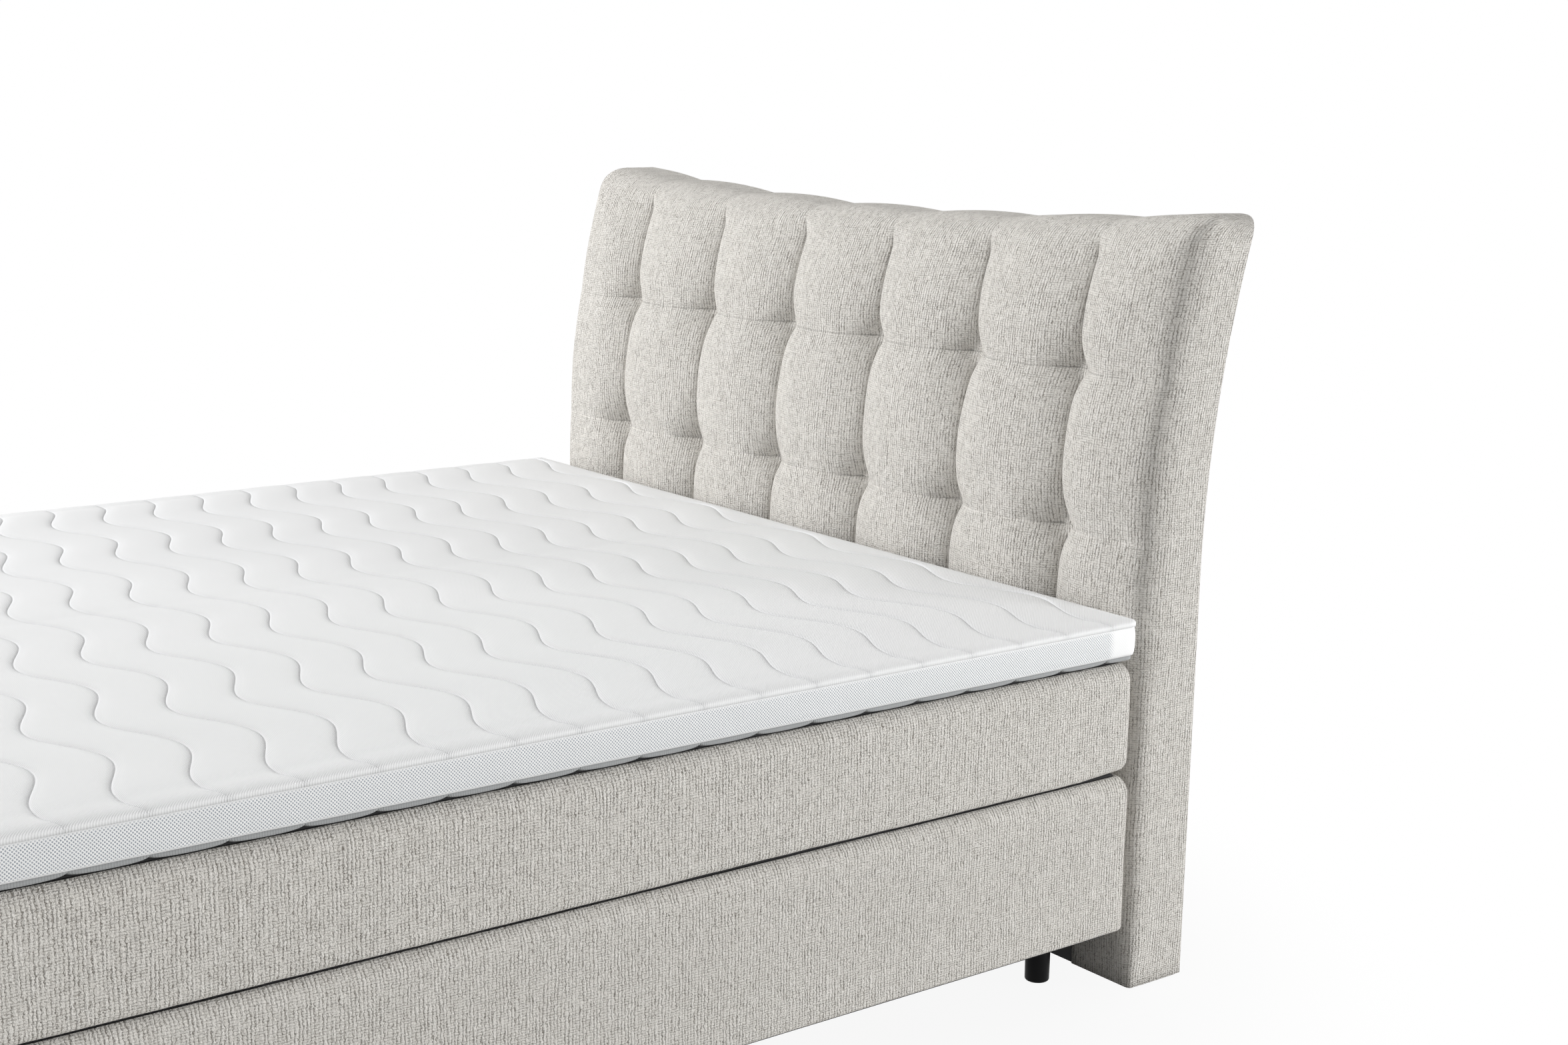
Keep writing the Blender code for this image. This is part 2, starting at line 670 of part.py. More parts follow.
def tie_slots(name, row_height):
    """Cutters for the loops of one tie through the foam and the board, as one mesh of separate bars."""
    half = TIE_THICKNESS / 2 + TIE_SLOT_CLEARANCE
    rise = TIE_HEIGHT / 2 + TIE_SLOT_CLEARANCE
    low = row_height - rise
    high = row_height + rise
    bars = []
    for x in TUFT_XS:
        bar = []
        for y in (FOAM_FRONT - CUT_OVERRUN, FRAME_FRONT + CUT_OVERRUN):
            for corner_x, corner_z in ((x - half, low), (x + half, low), (x + half, high), (x - half, high)):
                bar.append((corner_x, y + lean(corner_z), corner_z))
        bars.append(bar)
    return add_bars(name, bars, "tie_cord")


def make_headboard_frame():
    inner_top = COVER_TOP + SEAT_GAP

    def under_cover(x):
        return board_top(x) - inner_top

    foam_half = COVER_INNER - LEG_ROUND
    foam_columns = with_top_knots([-foam_half, foam_half])
    foam = leaning_board(
        "headboard_foam", foam_columns, SHELF_HEIGHT + SEAT_GAP, under_cover,
        lambda z: FOAM_FRONT, lambda z: FOAM_FRONT + FOAM_THICKNESS, "foam",
    )
    board = leaning_board(
        "headboard_front_board", foam_columns, SHELF_HEIGHT + SEAT_GAP, under_cover,
        lambda z: FRONT_BOARD_FRONT, lambda z: FRONT_BOARD_FRONT + FRONT_BOARD_THICKNESS, "fibreboard",
    )
    for label, row in (("low", TUFT_ROW_LOW), ("high", TUFT_ROW_HIGH)):
        slots = tie_slots(f"tie_slots_{label}", row)
        cut(foam, slots)
        cut(board, slots)
        make_tuft_tie(f"headboard_tuft_tie_{label}", row)
    for label, side in (("left", -1), ("right", 1)):
        make_headboard_side(label, side, under_cover)
    block(
        "headboard_shelf_rail", (-FRAME_HALF, LEG_FRONT, SHELF_LOW),
        (FRAME_HALF, FRAME_BACK, SHELF_HEIGHT), "pine",
    )
    rail = block(
        "headboard_bolt_rail",
        (-FRAME_HALF, BOLT_RAIL_FRONT, BOLT_HEIGHT - BOLT_RAIL_HEIGHT / 2),
        (FRAME_HALF, BOLT_RAIL_FRONT + BOLT_RAIL_THICKNESS, BOLT_HEIGHT + BOLT_RAIL_HEIGHT / 2), "pine",
    )
    rail_half = LEG_INNER - SEAT_GAP
    block(
        "headboard_bottom_rail", (-rail_half, LEG_FRONT, TIMBER_LOW),
        (rail_half, LEG_FRONT + LEG_BOARD_THICKNESS, TIMBER_LOW + BOTTOM_RAIL_HEIGHT), "pine",
    )
    rail_back = FRAME_FRONT + TIMBER_THICKNESS
    rail_low = board_top(0.0) - inner_top - TOP_RAIL_HEIGHT
    leaning_board(
        "headboard_top_rail", with_top_knots([-FRAME_HALF, FRAME_HALF]), rail_low, under_cover,
        lambda z: FRAME_FRONT, lambda z: rail_back, "pine",
    )
    post_half = MIDDLE_POST_WIDTH / 2
    leaning_board(
        "headboard_middle_post", with_top_knots([-post_half, post_half]), SHELF_HEIGHT + SEAT_GAP,
        under_cover, lambda z: rail_back + SEAT_GAP, lambda z: FRAME_BACK, "pine",
    )
    lining_half = COVER_INNER - SEAT_GAP
    leaning_board(
        "headboard_back_lining", with_top_knots([-lining_half, lining_half]), TIMBER_LOW, under_cover,
        lambda z: BACK_LINING_FRONT, lambda z: BOARD_BACK, "black_lining",
    )
    lining = block(
        "headboard_lower_lining", (SEAT_GAP - LEG_INNER, BOARD_LOW_FRONT, FLOOR_GLIDE),
        (LEG_INNER - SEAT_GAP, BOARD_LOW_FRONT + LINING_THICKNESS, SHELF_LOW - SEAT_GAP), "black_lining",
    )
    return rail, lining


def make_headboard_side(label, side, under_cover):
    """The full-height side board, the front board of the leg and the glide under them."""
    xs = sorted((side * SIDE_BOARD_INNER, side * SIDE_BOARD_OUTER))
    low_front = LEG_FRONT + LEG_BOARD_THICKNESS + SEAT_GAP
    levels = [TIMBER_LOW, SHELF_HEIGHT - SEAT_GAP, SHELF_HEIGHT]
    top = under_cover(side * SIDE_BOARD_INNER) - BOARD_TOP_CORNER
    levels += lean_levels(SHELF_HEIGHT, top) + [top]
    front = []
    back = []
    for x in xs:
        front.append([(x, (low_front if z < SHELF_HEIGHT else FRAME_FRONT) + lean(z), z) for z in levels])
        back.append([(x, FRAME_BACK + lean(z), z) for z in levels])
    grid_solid(f"headboard_side_board_{label}", front, back, "pine")
    leg_xs = sorted((side * LEG_INNER, side * (COVER_INNER - LEG_ROUND)))
    block(
        f"headboard_leg_board_{label}", (leg_xs[0], LEG_FRONT, TIMBER_LOW),
        (leg_xs[1], LEG_FRONT + LEG_BOARD_THICKNESS, SHELF_LOW - SEAT_GAP), "fibreboard",
    )
    centre = side * (SIDE_BOARD_INNER + SIDE_BOARD_OUTER) / 2
    block(
        f"headboard_glide_{label}", (centre - GLIDE_WIDTH / 2, low_front + GLIDE_MARGIN, 0.0),
        (centre + GLIDE_WIDTH / 2, FRAME_BACK - GLIDE_MARGIN, FLOOR_GLIDE), "black_plastic",
    )


def make_box(label, side):
    """One spring box: cover, frame, slats, springs, foam and lining. Returns what the bolts pass."""
    centre = (side * BOX_CENTRE, -BED_LENGTH / 2)
    half_x = BOX_WIDTH / 2
    half_y = BED_LENGTH / 2
    cover = soft_block(
        f"box_{label}_cover", centre, half_x, half_y, FLOOR_GAP + LINING_THICKNESS + SEAT_GAP, BOX_TOP,
        BOX_CORNER, (BOX_LOW_ROUND, BOX_TOP_ROUND), 0.0, "upholstery",
    )
    inner_x = half_x - BOX_WALL
    inner_y = half_y - BOX_WALL
    inner_corner = BOX_CORNER - BOX_WALL
    cavity = plan_block(
        f"box_{label}_cavity", centre, inner_x, inner_y, FLOOR_GAP - CUT_OVERRUN, BOX_TOP - BOX_WALL,
        inner_corner, "upholstery",
    )
    cut(cover, cavity)
    lining_half = (half_x - BOX_LOW_ROUND, half_y - BOX_LOW_ROUND)
    lining = plan_block(
        f"box_{label}_bottom_lining", centre, *lining_half, FLOOR_GAP, FLOOR_GAP + LINING_THICKNESS,
        inner_corner, "black_lining",
    )
    fit_x = inner_x - SEAT_GAP
    fit_y = inner_y - SEAT_GAP
    frame_low = FLOOR_GAP + LINING_THICKNESS + SEAT_GAP
    frame_top = frame_low + RAIL_HEIGHT
    frame = plan_block(
        f"box_{label}_frame", centre, fit_x, fit_y, frame_low, frame_top, inner_corner, "pine",
    )
    for way in (-1, 1):
        window = f"box_{label}_window_{way}"
        cut(frame, frame_window(window, centre, way, fit_x, fit_y, frame_low, frame_top))
    make_slats(label, centre, fit_x, fit_y, frame_top + SEAT_GAP)
    springs_low = frame_top + SEAT_GAP + SLAT_THICKNESS + SLAT_TAPE_THICKNESS + SEAT_GAP
    springs_top = springs_low + BOX_SPRING_HEIGHT
    pocket_inset = inner_corner / 3
    pocket_block(
        f"box_{label}_springs", centre, fit_x - pocket_inset, fit_y - pocket_inset, springs_low, springs_top,
        BOX_SPRING_PITCH, "pocket_fleece",
    )
    plan_block(
        f"box_{label}_foam", centre, fit_x, fit_y, springs_top + SEAT_GAP, BOX_TOP - BOX_WALL - SEAT_GAP,
        inner_corner, "foam",
    )
    return cover, frame, lining


def frame_window(name, centre, way, fit_x, fit_y, low, high):
    """The opening between a side rail and the middle beam, with the foot blocks left standing."""
    near = BEAM_WIDTH / 2
    far = fit_x - RAIL_THICKNESS
    end = fit_y - RAIL_THICKNESS
    block_near = FOOT_FROM_BOX_CENTRE - BLOCK_INNER_REACH
    block_far = min(far, FOOT_FROM_BOX_CENTRE + BLOCK_OUTER_REACH)
    inner_end = end - BLOCK_DEPTH
    half_outline = [(near, end), (block_near, end), (block_near, inner_end)]
    if far - block_far > SEAT_GAP:
        half_outline += [(block_far, inner_end), (block_far, end), (far, end)]
    else:
        half_outline.append((far, inner_end))
    outline = half_outline + [(x, -y) for x, y in reversed(half_outline)]
    rings = []
    for z in (low - CUT_OVERRUN, high + CUT_OVERRUN):
        rings.append([(centre[0] + way * x, centre[1] + y, z) for x, y in outline])
    return loft(name, rings, "pine")


def make_slats(label, centre, fit_x, fit_y, low):
    """Cross slats held at their distance by two tapes let into their tops."""
    tape_low = low + SLAT_THICKNESS - SLAT_TAPE_GRIP
    tape_top = low + SLAT_THICKNESS + SLAT_TAPE_THICKNESS
    step = (2 * fit_y - SLAT_WIDTH) / (SLAT_COUNT - 1)
    bars = []
    for k in range(SLAT_COUNT):
        y = centre[1] - fit_y + SLAT_WIDTH / 2 + k * step
        inset = BOX_CORNER - BOX_WALL if k in (0, SLAT_COUNT - 1) else 0.0
        bar = []
        for z in (low, low + SLAT_THICKNESS):
            for x_way, y_way in ((-1, -1), (1, -1), (1, 1), (-1, 1)):
                bar.append((centre[0] + x_way * (fit_x - inset), y + y_way * SLAT_WIDTH / 2, z))
        bars.append(bar)
    deck = add_bars(f"box_{label}_slats", bars, "pine")
    for way in (-1, 1):
        x = centre[0] + way * fit_x * SLAT_TAPE_PLACE_SHARE
        reach = fit_y - SLAT_WIDTH / 4
        tape = block(
            f"box_{label}_slat_tape_{way}", (x - SLAT_TAPE_WIDTH / 2, centre[1] - reach, tape_low),
            (x + SLAT_TAPE_WIDTH / 2, centre[1] + reach, tape_top), "tie_cord",
        )
        unite(deck, tape)


def foot_profile(height):
    return [
        (FOOT_LOW_RADIUS - FOOT_EDGE_ROUND, 0.0),
        (FOOT_LOW_RADIUS, FOOT_EDGE_ROUND),
        (FOOT_TOP_RADIUS, height),
        (STUD_RADIUS, height),
        (STUD_RADIUS, height + STUD_LENGTH),
    ]


def make_feet_and_connectors(boxes):
    """Four feet under each box. The two inner pairs clamp a flat bar that joins the boxes."""
    inner_x = BOX_CENTRE - FOOT_FROM_BOX_CENTRE
    ends = (("head", -FOOT_FROM_END), ("foot", FOOT_FROM_END - BED_LENGTH))
    hole = STUD_RADIUS + HOLE_CLEARANCE
    for end, y in ends:
        half = inner_x + CONNECTOR_MARGIN
        top = FLOOR_GAP - SEAT_GAP
        bar = block(
            f"box_connector_{end}", (-half, y - CONNECTOR_WIDTH / 2, top - CONNECTOR_THICKNESS),
            (half, y + CONNECTOR_WIDTH / 2, top), "zinc_steel",
        )
        for label, side in (("left", -1), ("right", 1)):
            for place, x in (("outer", BOX_CENTRE + FOOT_FROM_BOX_CENTRE), ("inner", inner_x)):
                inner = place == "inner"
                height = FLOOR_GAP - SEAT_GAP - (CONNECTOR_THICKNESS + SEAT_GAP if inner else 0.0)
                name = f"box_{label}_foot_{end}_{place}"
                turned(name, foot_profile(height), "black_plastic", FOOT_SIDES, (side * x, y, 0.0))
                start = (side * x, y, FLOOR_GAP - CUT_OVERRUN)
                stop = (side * x, y, height + STUD_LENGTH + CUT_OVERRUN / 2)
                drill = rod_cutter(name + "_hole", hole, start, stop)
                for piece in (*boxes[label][1:], *((bar,) if inner else ())):
                    cut(piece, drill)


def make_bolts(boxes, rail, lining):
    """Each bolt runs forward through the bolt rail and its spacer into a box's head rail."""
    head_front = BOLT_RAIL_FRONT + BOLT_RAIL_THICKNESS + SEAT_GAP
    tip = -(BOX_WALL + SEAT_GAP + BOLT_GRIP)
    hole = BOLT_RADIUS + HOLE_CLEARANCE
    for number, x in enumerate(sorted(BOLT_XS), start=1):
        label = "left" if x < 0 else "right"
        place = (x, tip, BOLT_HEIGHT)
        shank = head_front - tip
        profile = [(BOLT_RADIUS, 0.0), (BOLT_RADIUS, shank), (BOLT_HEAD_RADIUS, shank)]
        profile.append((BOLT_HEAD_RADIUS, shank + BOLT_HEAD_THICKNESS))
        turned(f"headboard_bolt_{number}", profile, "zinc_steel", SMALL_ROUND_SIDES, place, along_y=True)
        spacer_length = BOLT_RAIL_FRONT - 2 * SEAT_GAP
        spacer = turned(
            f"headboard_spacer_{number}", [(SPACER_RADIUS, 0.0), (SPACER_RADIUS, spacer_length)],
            "black_plastic", SMALL_ROUND_SIDES, (x, SEAT_GAP, BOLT_HEIGHT), along_y=True,
        )
        start = (x, tip - SEAT_GAP, BOLT_HEIGHT)
        drill = rod_cutter(f"bolt_hole_{number}", hole, start, (x, head_front + CUT_OVERRUN, BOLT_HEIGHT))
        for piece in (rail, spacer, boxes[label][0], boxes[label][1]):
            cut(piece, drill)
        wide = rod_cutter(
            f"spacer_hole_{number}", SPACER_RADIUS + HOLE_CLEARANCE,
            (x, BOARD_LOW_FRONT - CUT_OVERRUN, BOLT_HEIGHT), (x, BOLT_RAIL_FRONT, BOLT_HEIGHT),
        )
        cut(lining, wide)


def make_mattress():
    centre = (0.0, -BED_LENGTH / 2)
    half_y = BED_LENGTH / 2
    cover = soft_block(
        "mattress_cover", centre, BED_HALF, half_y, MATTRESS_LOW, MATTRESS_TOP,
        MATTRESS_CORNER, (MATTRESS_ROUND, MATTRESS_ROUND), MATTRESS_SIDE_SWELL, "upholstery",
    )
    inner_x = BED_HALF - MATTRESS_WALL
    inner_y = half_y - MATTRESS_WALL
    inner_corner = MATTRESS_CORNER - MATTRESS_WALL
    inner_top = MATTRESS_TOP - MATTRESS_WALL
    inner_low = MATTRESS_LOW + MATTRESS_WALL
    cut(cover, plan_block(
        "mattress_cavity", centre, inner_x, inner_y, inner_low, inner_top, inner_corner, "upholstery",
    ))
    mouth_x = BED_HALF - MATTRESS_ROUND - MATTRESS_SIDE_SWELL
    mouth_y = half_y - MATTRESS_ROUND - MATTRESS_SIDE_SWELL
    cut(cover, plan_block(
        "mattress_mouth", centre, mouth_x, mouth_y, MATTRESS_LOW - CUT_OVERRUN, inner_low + CUT_OVERRUN,
        inner_corner, "upholstery",
    ))
    panel_top = MATTRESS_LOW + MATTRESS_WALL - SEAT_GAP
    plan_block(
        "mattress_base_panel", centre, mouth_x - SEAT_GAP, mouth_y - SEAT_GAP, MATTRESS_LOW, panel_top,
        inner_corner - SEAT_GAP, "grey_felt",
    )
    fit_x = inner_x - SEAT_GAP
    fit_y = inner_y - SEAT_GAP
    felt_low = inner_low + SEAT_GAP
    felt_top = felt_low + MATTRESS_FELT_THICKNESS
    plan_block("mattress_lower_felt", centre, fit_x, fit_y, felt_low, felt_top, inner_corner, "grey_felt")
    springs_low = felt_top + SEAT_GAP
    springs_top = springs_low + MATTRESS_SPRING_HEIGHT
    core_half = (fit_x - inner_corner / 3 - SEAT_GAP) / 2
    for label, side in (("left", -1), ("right", 1)):
        pocket_block(
            f"mattress_springs_{label}", (side * (core_half + SEAT_GAP), centre[1]), core_half,
            fit_y - inner_corner / 3, springs_low, springs_top, MATTRESS_SPRING_PITCH, "pocket_fleece",
        )
    plan_block(
        "mattress_top_foam", centre, fit_x, fit_y, springs_top + SEAT_GAP, inner_top - SEAT_GAP,
        inner_corner, "foam",
    )


# The topper


def quilt_seam(k, x):
    """The y of seam k at x, counted from the head end."""
    wave = math.cos(2 * math.pi * (x - QUILT_CREST) / QUILT_WAVE)
    return -QUILT_FIRST - k * QUILT_PITCH + QUILT_SWING * wave


def topper_half_width(y):
    """Half of the topper's width at y, drawn in round its corners."""
    into = max(0.0, TOPPER_CORNER + y, TOPPER_CORNER - (y + BED_LENGTH))
    into = min(into, TOPPER_CORNER)
    return TOPPER_HALF - TOPPER_CORNER + math.sqrt(max(0.0, TOPPER_CORNER**2 - into**2))


def quilt_rows(x, waved):
    """(y, drawn in) down the bed at x, where drawn in is 1 on a seam and 0 between seams."""
    seams = int((BED_LENGTH - QUILT_FIRST - QUILT_SWING) / QUILT_PITCH) + 1
    ys = [quilt_seam(k, x if waved else QUILT_CREST + QUILT_WAVE / 4) for k in range(seams)]
    rows = [(0.0, 0.0), (ys[0] / 2, 0.0)]
    for k, y in enumerate(ys):
        rows.append((y, 1.0))
        if k < seams - 1:
            rows.append(((y + ys[k + 1]) / 2, 0.0))
    rows.append(((ys[-1] - BED_LENGTH) / 2, 0.0))
    rows.append((-BED_LENGTH, 0.0))
    return rows


def puffed_height(x, y, drawn, half):
    """Height of the quilted top at a point, over the flat seam round its edge."""
    from_edge = max(0.0, min(half - abs(x), -y, y + BED_LENGTH))
    share = min(1.0, from_edge / TOPPER_PUFF_REACH)
    rise = TOPPER_PUFF * (1 - (1 - share) ** 2)
    return TOP_SEAM + rise - TOPPER_CHANNEL_DEPTH * drawn * share


def make_topper_top():
    step = QUILT_WAVE / WAVE_COLUMNS
    first = math.ceil((-TOPPER_HALF + step / 2 - QUILT_CREST) / step)
    last = math.floor((TOPPER_HALF - step / 2 - QUILT_CREST) / step)
    xs = [-TOPPER_HALF] + [QUILT_CREST + step * k for k in range(first, last + 1)] + [TOPPER_HALF]
    top = []
    low = []
    for x in xs:
        top_column = []
        low_column = []
        for y, drawn in quilt_rows(x, waved=abs(x) < TOPPER_HALF):
            half = topper_half_width(y)
            across = x * half / TOPPER_HALF
            top_column.append((across, y, puffed_height(across, y, drawn, half)))
            low_column.append((across, y, TOP_PANEL_LOW))
        top.append(top_column)
        low.append(low_column)
    plain_under(top, "topper_top_panel", TOP_PANEL_LOW)


def plain_under(grid, name, under):
    """A solid from a grid of upper points down to one flat face at height under."""
    points, faces, rim, lower = walled_sheet(grid, lambda x, y, z: (x, y, under))
    faces.append(tuple(lower[here] for here in rim))
    return add_piece(name, points, faces, "topper_knit", smooth=True)


def make_topper_bottom():
    """The lower quilted panel, whose lobes hang between its seams."""
    rim_rise = TOPPER_LOW_PANEL / 2
    grid = []
    for share in LOW_PANEL_SHARES:
        column = []
        for y, drawn in quilt_rows(0.0, waved=False):
            x = share * topper_half_width(y)
            at_edge = abs(share) == 1.0 or y in (0.0, -BED_LENGTH)
            lift = rim_rise if at_edge else 0.0
            column.append((x, y, TOPPER_LOW + lift + TOPPER_LOW_PANEL * LOW_SEAM_RISE_SHARE * drawn))
        grid.append(column)
    plain_under(grid, "topper_bottom_panel", TOPPER_LOW + TOPPER_LOW_PANEL)


def make_topper():
    make_topper_top()
    make_topper_bottom()
    centre = (0.0, -BED_LENGTH / 2)
    half_y = BED_LENGTH / 2
    band = plan_block(
        "topper_border", centre, TOPPER_HALF, half_y, BAND_LOW, BAND_TOP, TOPPER_CORNER, "topper_mesh",
    )
    inner_x = TOPPER_HALF - TOPPER_BAND_THICKNESS
    inner_y = half_y - TOPPER_BAND_THICKNESS
    inner_corner = TOPPER_CORNER - TOPPER_BAND_THICKNESS
    hollow = plan_block(
        "topper_hollow", centre, inner_x, inner_y, BAND_LOW - CUT_OVERRUN, BAND_TOP + CUT_OVERRUN,
        inner_corner, "topper_mesh",
    )
    cut(band, hollow)
    plan_block(
        "topper_core", centre, inner_x - SEAT_GAP, inner_y - SEAT_GAP, BAND_LOW, BAND_TOP,
        inner_corner - SEAT_GAP, "foam",
    )
    make_zip()


def make_zip():
    """The zip of the topper's cover, across the foot end, and its slider."""
    face = -BED_LENGTH - SEAT_GAP
    half = TOPPER_HALF - ZIP_END_MARGIN
    low = BAND_LOW
    block(
        "topper_zip_chain", (-half, face - ZIP_THICKNESS, low), (half, face, low + ZIP_HEIGHT), "grey_felt",
    )
    middle = low + ZIP_HEIGHT / 2
    start = half - SLIDER_LENGTH
    slider = block(
        "topper_zip_slider", (start, face - SLIDER_THICKNESS, middle - SLIDER_HEIGHT / 2),
        (start + SLIDER_LENGTH, face, middle + SLIDER_HEIGHT / 2), "zinc_steel",
    )
    slot_half = ZIP_HEIGHT / 2 + SEAT_GAP
    slot = block(
        "zip_slot", (start - CUT_OVERRUN, face - ZIP_THICKNESS - SEAT_GAP, middle - slot_half),
        (start + SLIDER_LENGTH + CUT_OVERRUN, face + CUT_OVERRUN, middle + slot_half), "zinc_steel",
    )
    cut(slider, slot)


def centre_on_floor():
    """Put every piece under one empty, and move that so that the footprint's middle is the origin."""
    graph = bpy.context.evaluated_depsgraph_get()
    lows = [math.inf, math.inf]
    highs = [-math.inf, -math.inf]
    pieces = list(bpy.context.scene.objects)
    for obj in pieces:
        if obj.hide_render:
            continue
        evaluated = obj.evaluated_get(graph)
        mesh = evaluated.to_mesh()
        for vertex in mesh.vertices:
            place = evaluated.matrix_world @ vertex.co
            for axis in (0, 1):
                lows[axis] = min(lows[axis], place[axis])
                highs[axis] = max(highs[axis], place[axis])
        evaluated.to_mesh_clear()
    bed = bpy.data.objects.new("bed", None)
    bpy.context.scene.collection.objects.link(bed)
    for obj in pieces:
        obj.parent = bed
    bed.location = (-(lows[0] + highs[0]) / 2, -(lows[1] + highs[1]) / 2, 0.0)


def main():
    clear_scene()
    make_headboard_cover()
    rail, lining = make_headboard_frame()
    boxes = {label: make_box(label, side) for label, side in (("left", -1), ("right", 1))}
    make_feet_and_connectors(boxes)
    make_bolts(boxes, rail, lining)
    make_mattress()
    make_topper()
    bpy.context.view_layer.update()
    centre_on_floor()


main()
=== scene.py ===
import json
import math

import bmesh
import bpy
import numpy as np
from mathutils import Matrix, Vector


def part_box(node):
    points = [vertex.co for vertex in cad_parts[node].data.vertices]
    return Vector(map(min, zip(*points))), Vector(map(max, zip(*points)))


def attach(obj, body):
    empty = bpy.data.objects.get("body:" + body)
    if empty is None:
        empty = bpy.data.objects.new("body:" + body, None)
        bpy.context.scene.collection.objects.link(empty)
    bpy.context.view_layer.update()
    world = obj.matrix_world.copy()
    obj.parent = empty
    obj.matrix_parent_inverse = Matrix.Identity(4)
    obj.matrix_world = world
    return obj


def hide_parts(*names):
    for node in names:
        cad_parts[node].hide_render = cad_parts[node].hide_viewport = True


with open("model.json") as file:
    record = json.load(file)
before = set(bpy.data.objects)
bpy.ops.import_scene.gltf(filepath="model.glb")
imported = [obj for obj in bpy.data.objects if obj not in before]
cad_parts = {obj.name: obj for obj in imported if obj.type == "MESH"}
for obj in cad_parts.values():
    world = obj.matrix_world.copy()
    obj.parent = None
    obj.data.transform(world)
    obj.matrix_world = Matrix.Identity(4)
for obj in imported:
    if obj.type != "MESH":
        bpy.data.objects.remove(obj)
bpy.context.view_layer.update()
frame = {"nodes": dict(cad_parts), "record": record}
nodes = frame["nodes"]

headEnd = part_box("box_right_cover")[1].y  # the boxes' end by the headboard
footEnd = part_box("box_right_cover")[0].y
headReach = 0.008  # the soft pieces press this much further towards the headboard than their solids
softHead = headEnd + headReach
softMiddle = (softHead + footEnd) / 2
floorLevel = 0.0
seatGap = 0.0003  # between pieces that touch


def placed(name, data):
    item = bpy.data.objects.new(name, data)
    bpy.context.scene.collection.objects.link(item)
    return item


# Camera

print("camera")
cameraSet = dict(
    x=3.3352,
    beyondHeadEnd=-2.5829,
    z=1.4989,
    lens=52.17,
    sensor=36.0,
    yaw=52.39,  # degrees from +Y towards -X
    down=11.37,
    roll=0.90,
    clip=(0.05, 200.0),
)


def makeCamera(s):
    yaw, down, roll = (math.radians(s[key]) for key in ("yaw", "down", "roll"))
    ahead = Vector((-math.sin(yaw) * math.cos(down), math.cos(yaw) * math.cos(down), -math.sin(down)))
    level = Vector((math.cos(yaw), math.sin(yaw), 0.0))
    upright = level.cross(ahead)
    right = math.cos(roll) * level + math.sin(roll) * upright
    up = math.cos(roll) * upright - math.sin(roll) * level
    data = bpy.data.cameras.new("camera")
    data.lens = s["lens"]
    data.sensor_width = s["sensor"]
    data.clip_start, data.clip_end = s["clip"]
    camera = placed("camera", data)
    turn = Matrix((right, up, -ahead)).transposed().to_4x4()
    camera.matrix_world = Matrix.Translation((s["x"], headEnd + s["beyondHeadEnd"], s["z"])) @ turn
    bpy.context.scene.camera = camera


makeCamera(cameraSet)


# Shader sums


class Signal:
    # A socket that adds, multiplies and so on by making the Math node it needs
    def __init__(self, graph, socket):
        self.graph = graph
        self.socket = socket

    def sum(self, operation, *others):
        return self.graph.add("Math", dict(operation=operation), dict(enumerate((self, *others))))[0]

    def __add__(self, other):
        return self.sum("ADD", other)

    def __sub__(self, other):
        return self.sum("SUBTRACT", other)

    def __rsub__(self, other):
        return self.graph.add("Math", dict(operation="SUBTRACT"), {0: other, 1: self})[0]

    def __mul__(self, other):
        return self.sum("MULTIPLY", other)

    def __truediv__(self, other):
        return self.sum("DIVIDE", other)

    __radd__ = __add__
    __rmul__ = __mul__


class Made:
    # A node whose outputs are asked for by name or number
    def __init__(self, graph, node):
        self.graph = graph
        self.node = node

    def __getitem__(self, key):
        return Signal(self.graph, self.node.outputs[key])


class Graph:
    # A node tree. add() makes any node from its type, its settings and its sockets' values or links
    def __init__(self, tree):
        self.tree = tree

    def add(self, kind, settings=None, values=None):
        node = self.tree.nodes.new("ShaderNode" + kind)
        for key, value in (settings or {}).items():
            setattr(node, key, value)
        for key, value in (values or {}).items():
            self.feed(node.inputs[key], value)
        return Made(self, node)

    def feed(self, socket, value):
        if isinstance(value, Signal):
            self.tree.links.new(value.socket, socket)
        else:
            socket.default_value = value

    def mix(self, factor, first, second):
        return self.add("Mix", dict(data_type="RGBA"), {0: factor, 6: first, 7: second})[2]

    def split(self, vector):
        parts = self.add("SeparateXYZ", None, {0: vector})
        return parts[0], parts[1], parts[2]

    def join(self, x, y, z=0.0):
        return self.add("CombineXYZ", None, {0: x, 1: y, 2: z})[0]

    def place(self):
        return self.add("TexCoord")["Object"]

    def kept(self, name):
        return self.add("Attribute", dict(attribute_name=name))["Vector"]

    def scaled(self, vector, scale):
        return self.add("Mapping", None, {"Vector": vector, "Scale": scale})[0]

    def noise(self, vector, scale, detail=2.0, roughness=0.5):
        values = {"Vector": vector, "Scale": scale, "Detail": detail, "Roughness": roughness}
        return self.add("TexNoise", None, values)[0]

    def chance(self, x, y, z=0.0):
        return self.add("TexWhiteNoise", dict(noise_dimensions="3D"), {"Vector": self.join(x, y, z)})[0]

    def ease(self, value, low, high):
        values = {"Value": value, "From Min": low, "From Max": high}
        return self.add("MapRange", dict(interpolation_type="SMOOTHSTEP"), values)[0]


class Finish(Graph):
    # One material and its shader
    def __init__(self, name, **fixed):
        self.material = bpy.data.materials.new(name)
        self.material.use_nodes = True
        super().__init__(self.material.node_tree)
        self.shader = self.tree.nodes["Principled BSDF"]
        self.set(**fixed)

    def set(self, **values):
        for key, value in values.items():
            self.feed(self.shader.inputs[key.replace("_", " ")], value)

    def bump(self, height, distance):
        self.set(Normal=self.add("Bump", None, {"Height": height, "Distance": distance})["Normal"])


def rgb(red, green, blue):
    return (red, green, blue, 1.0)


# Finishes

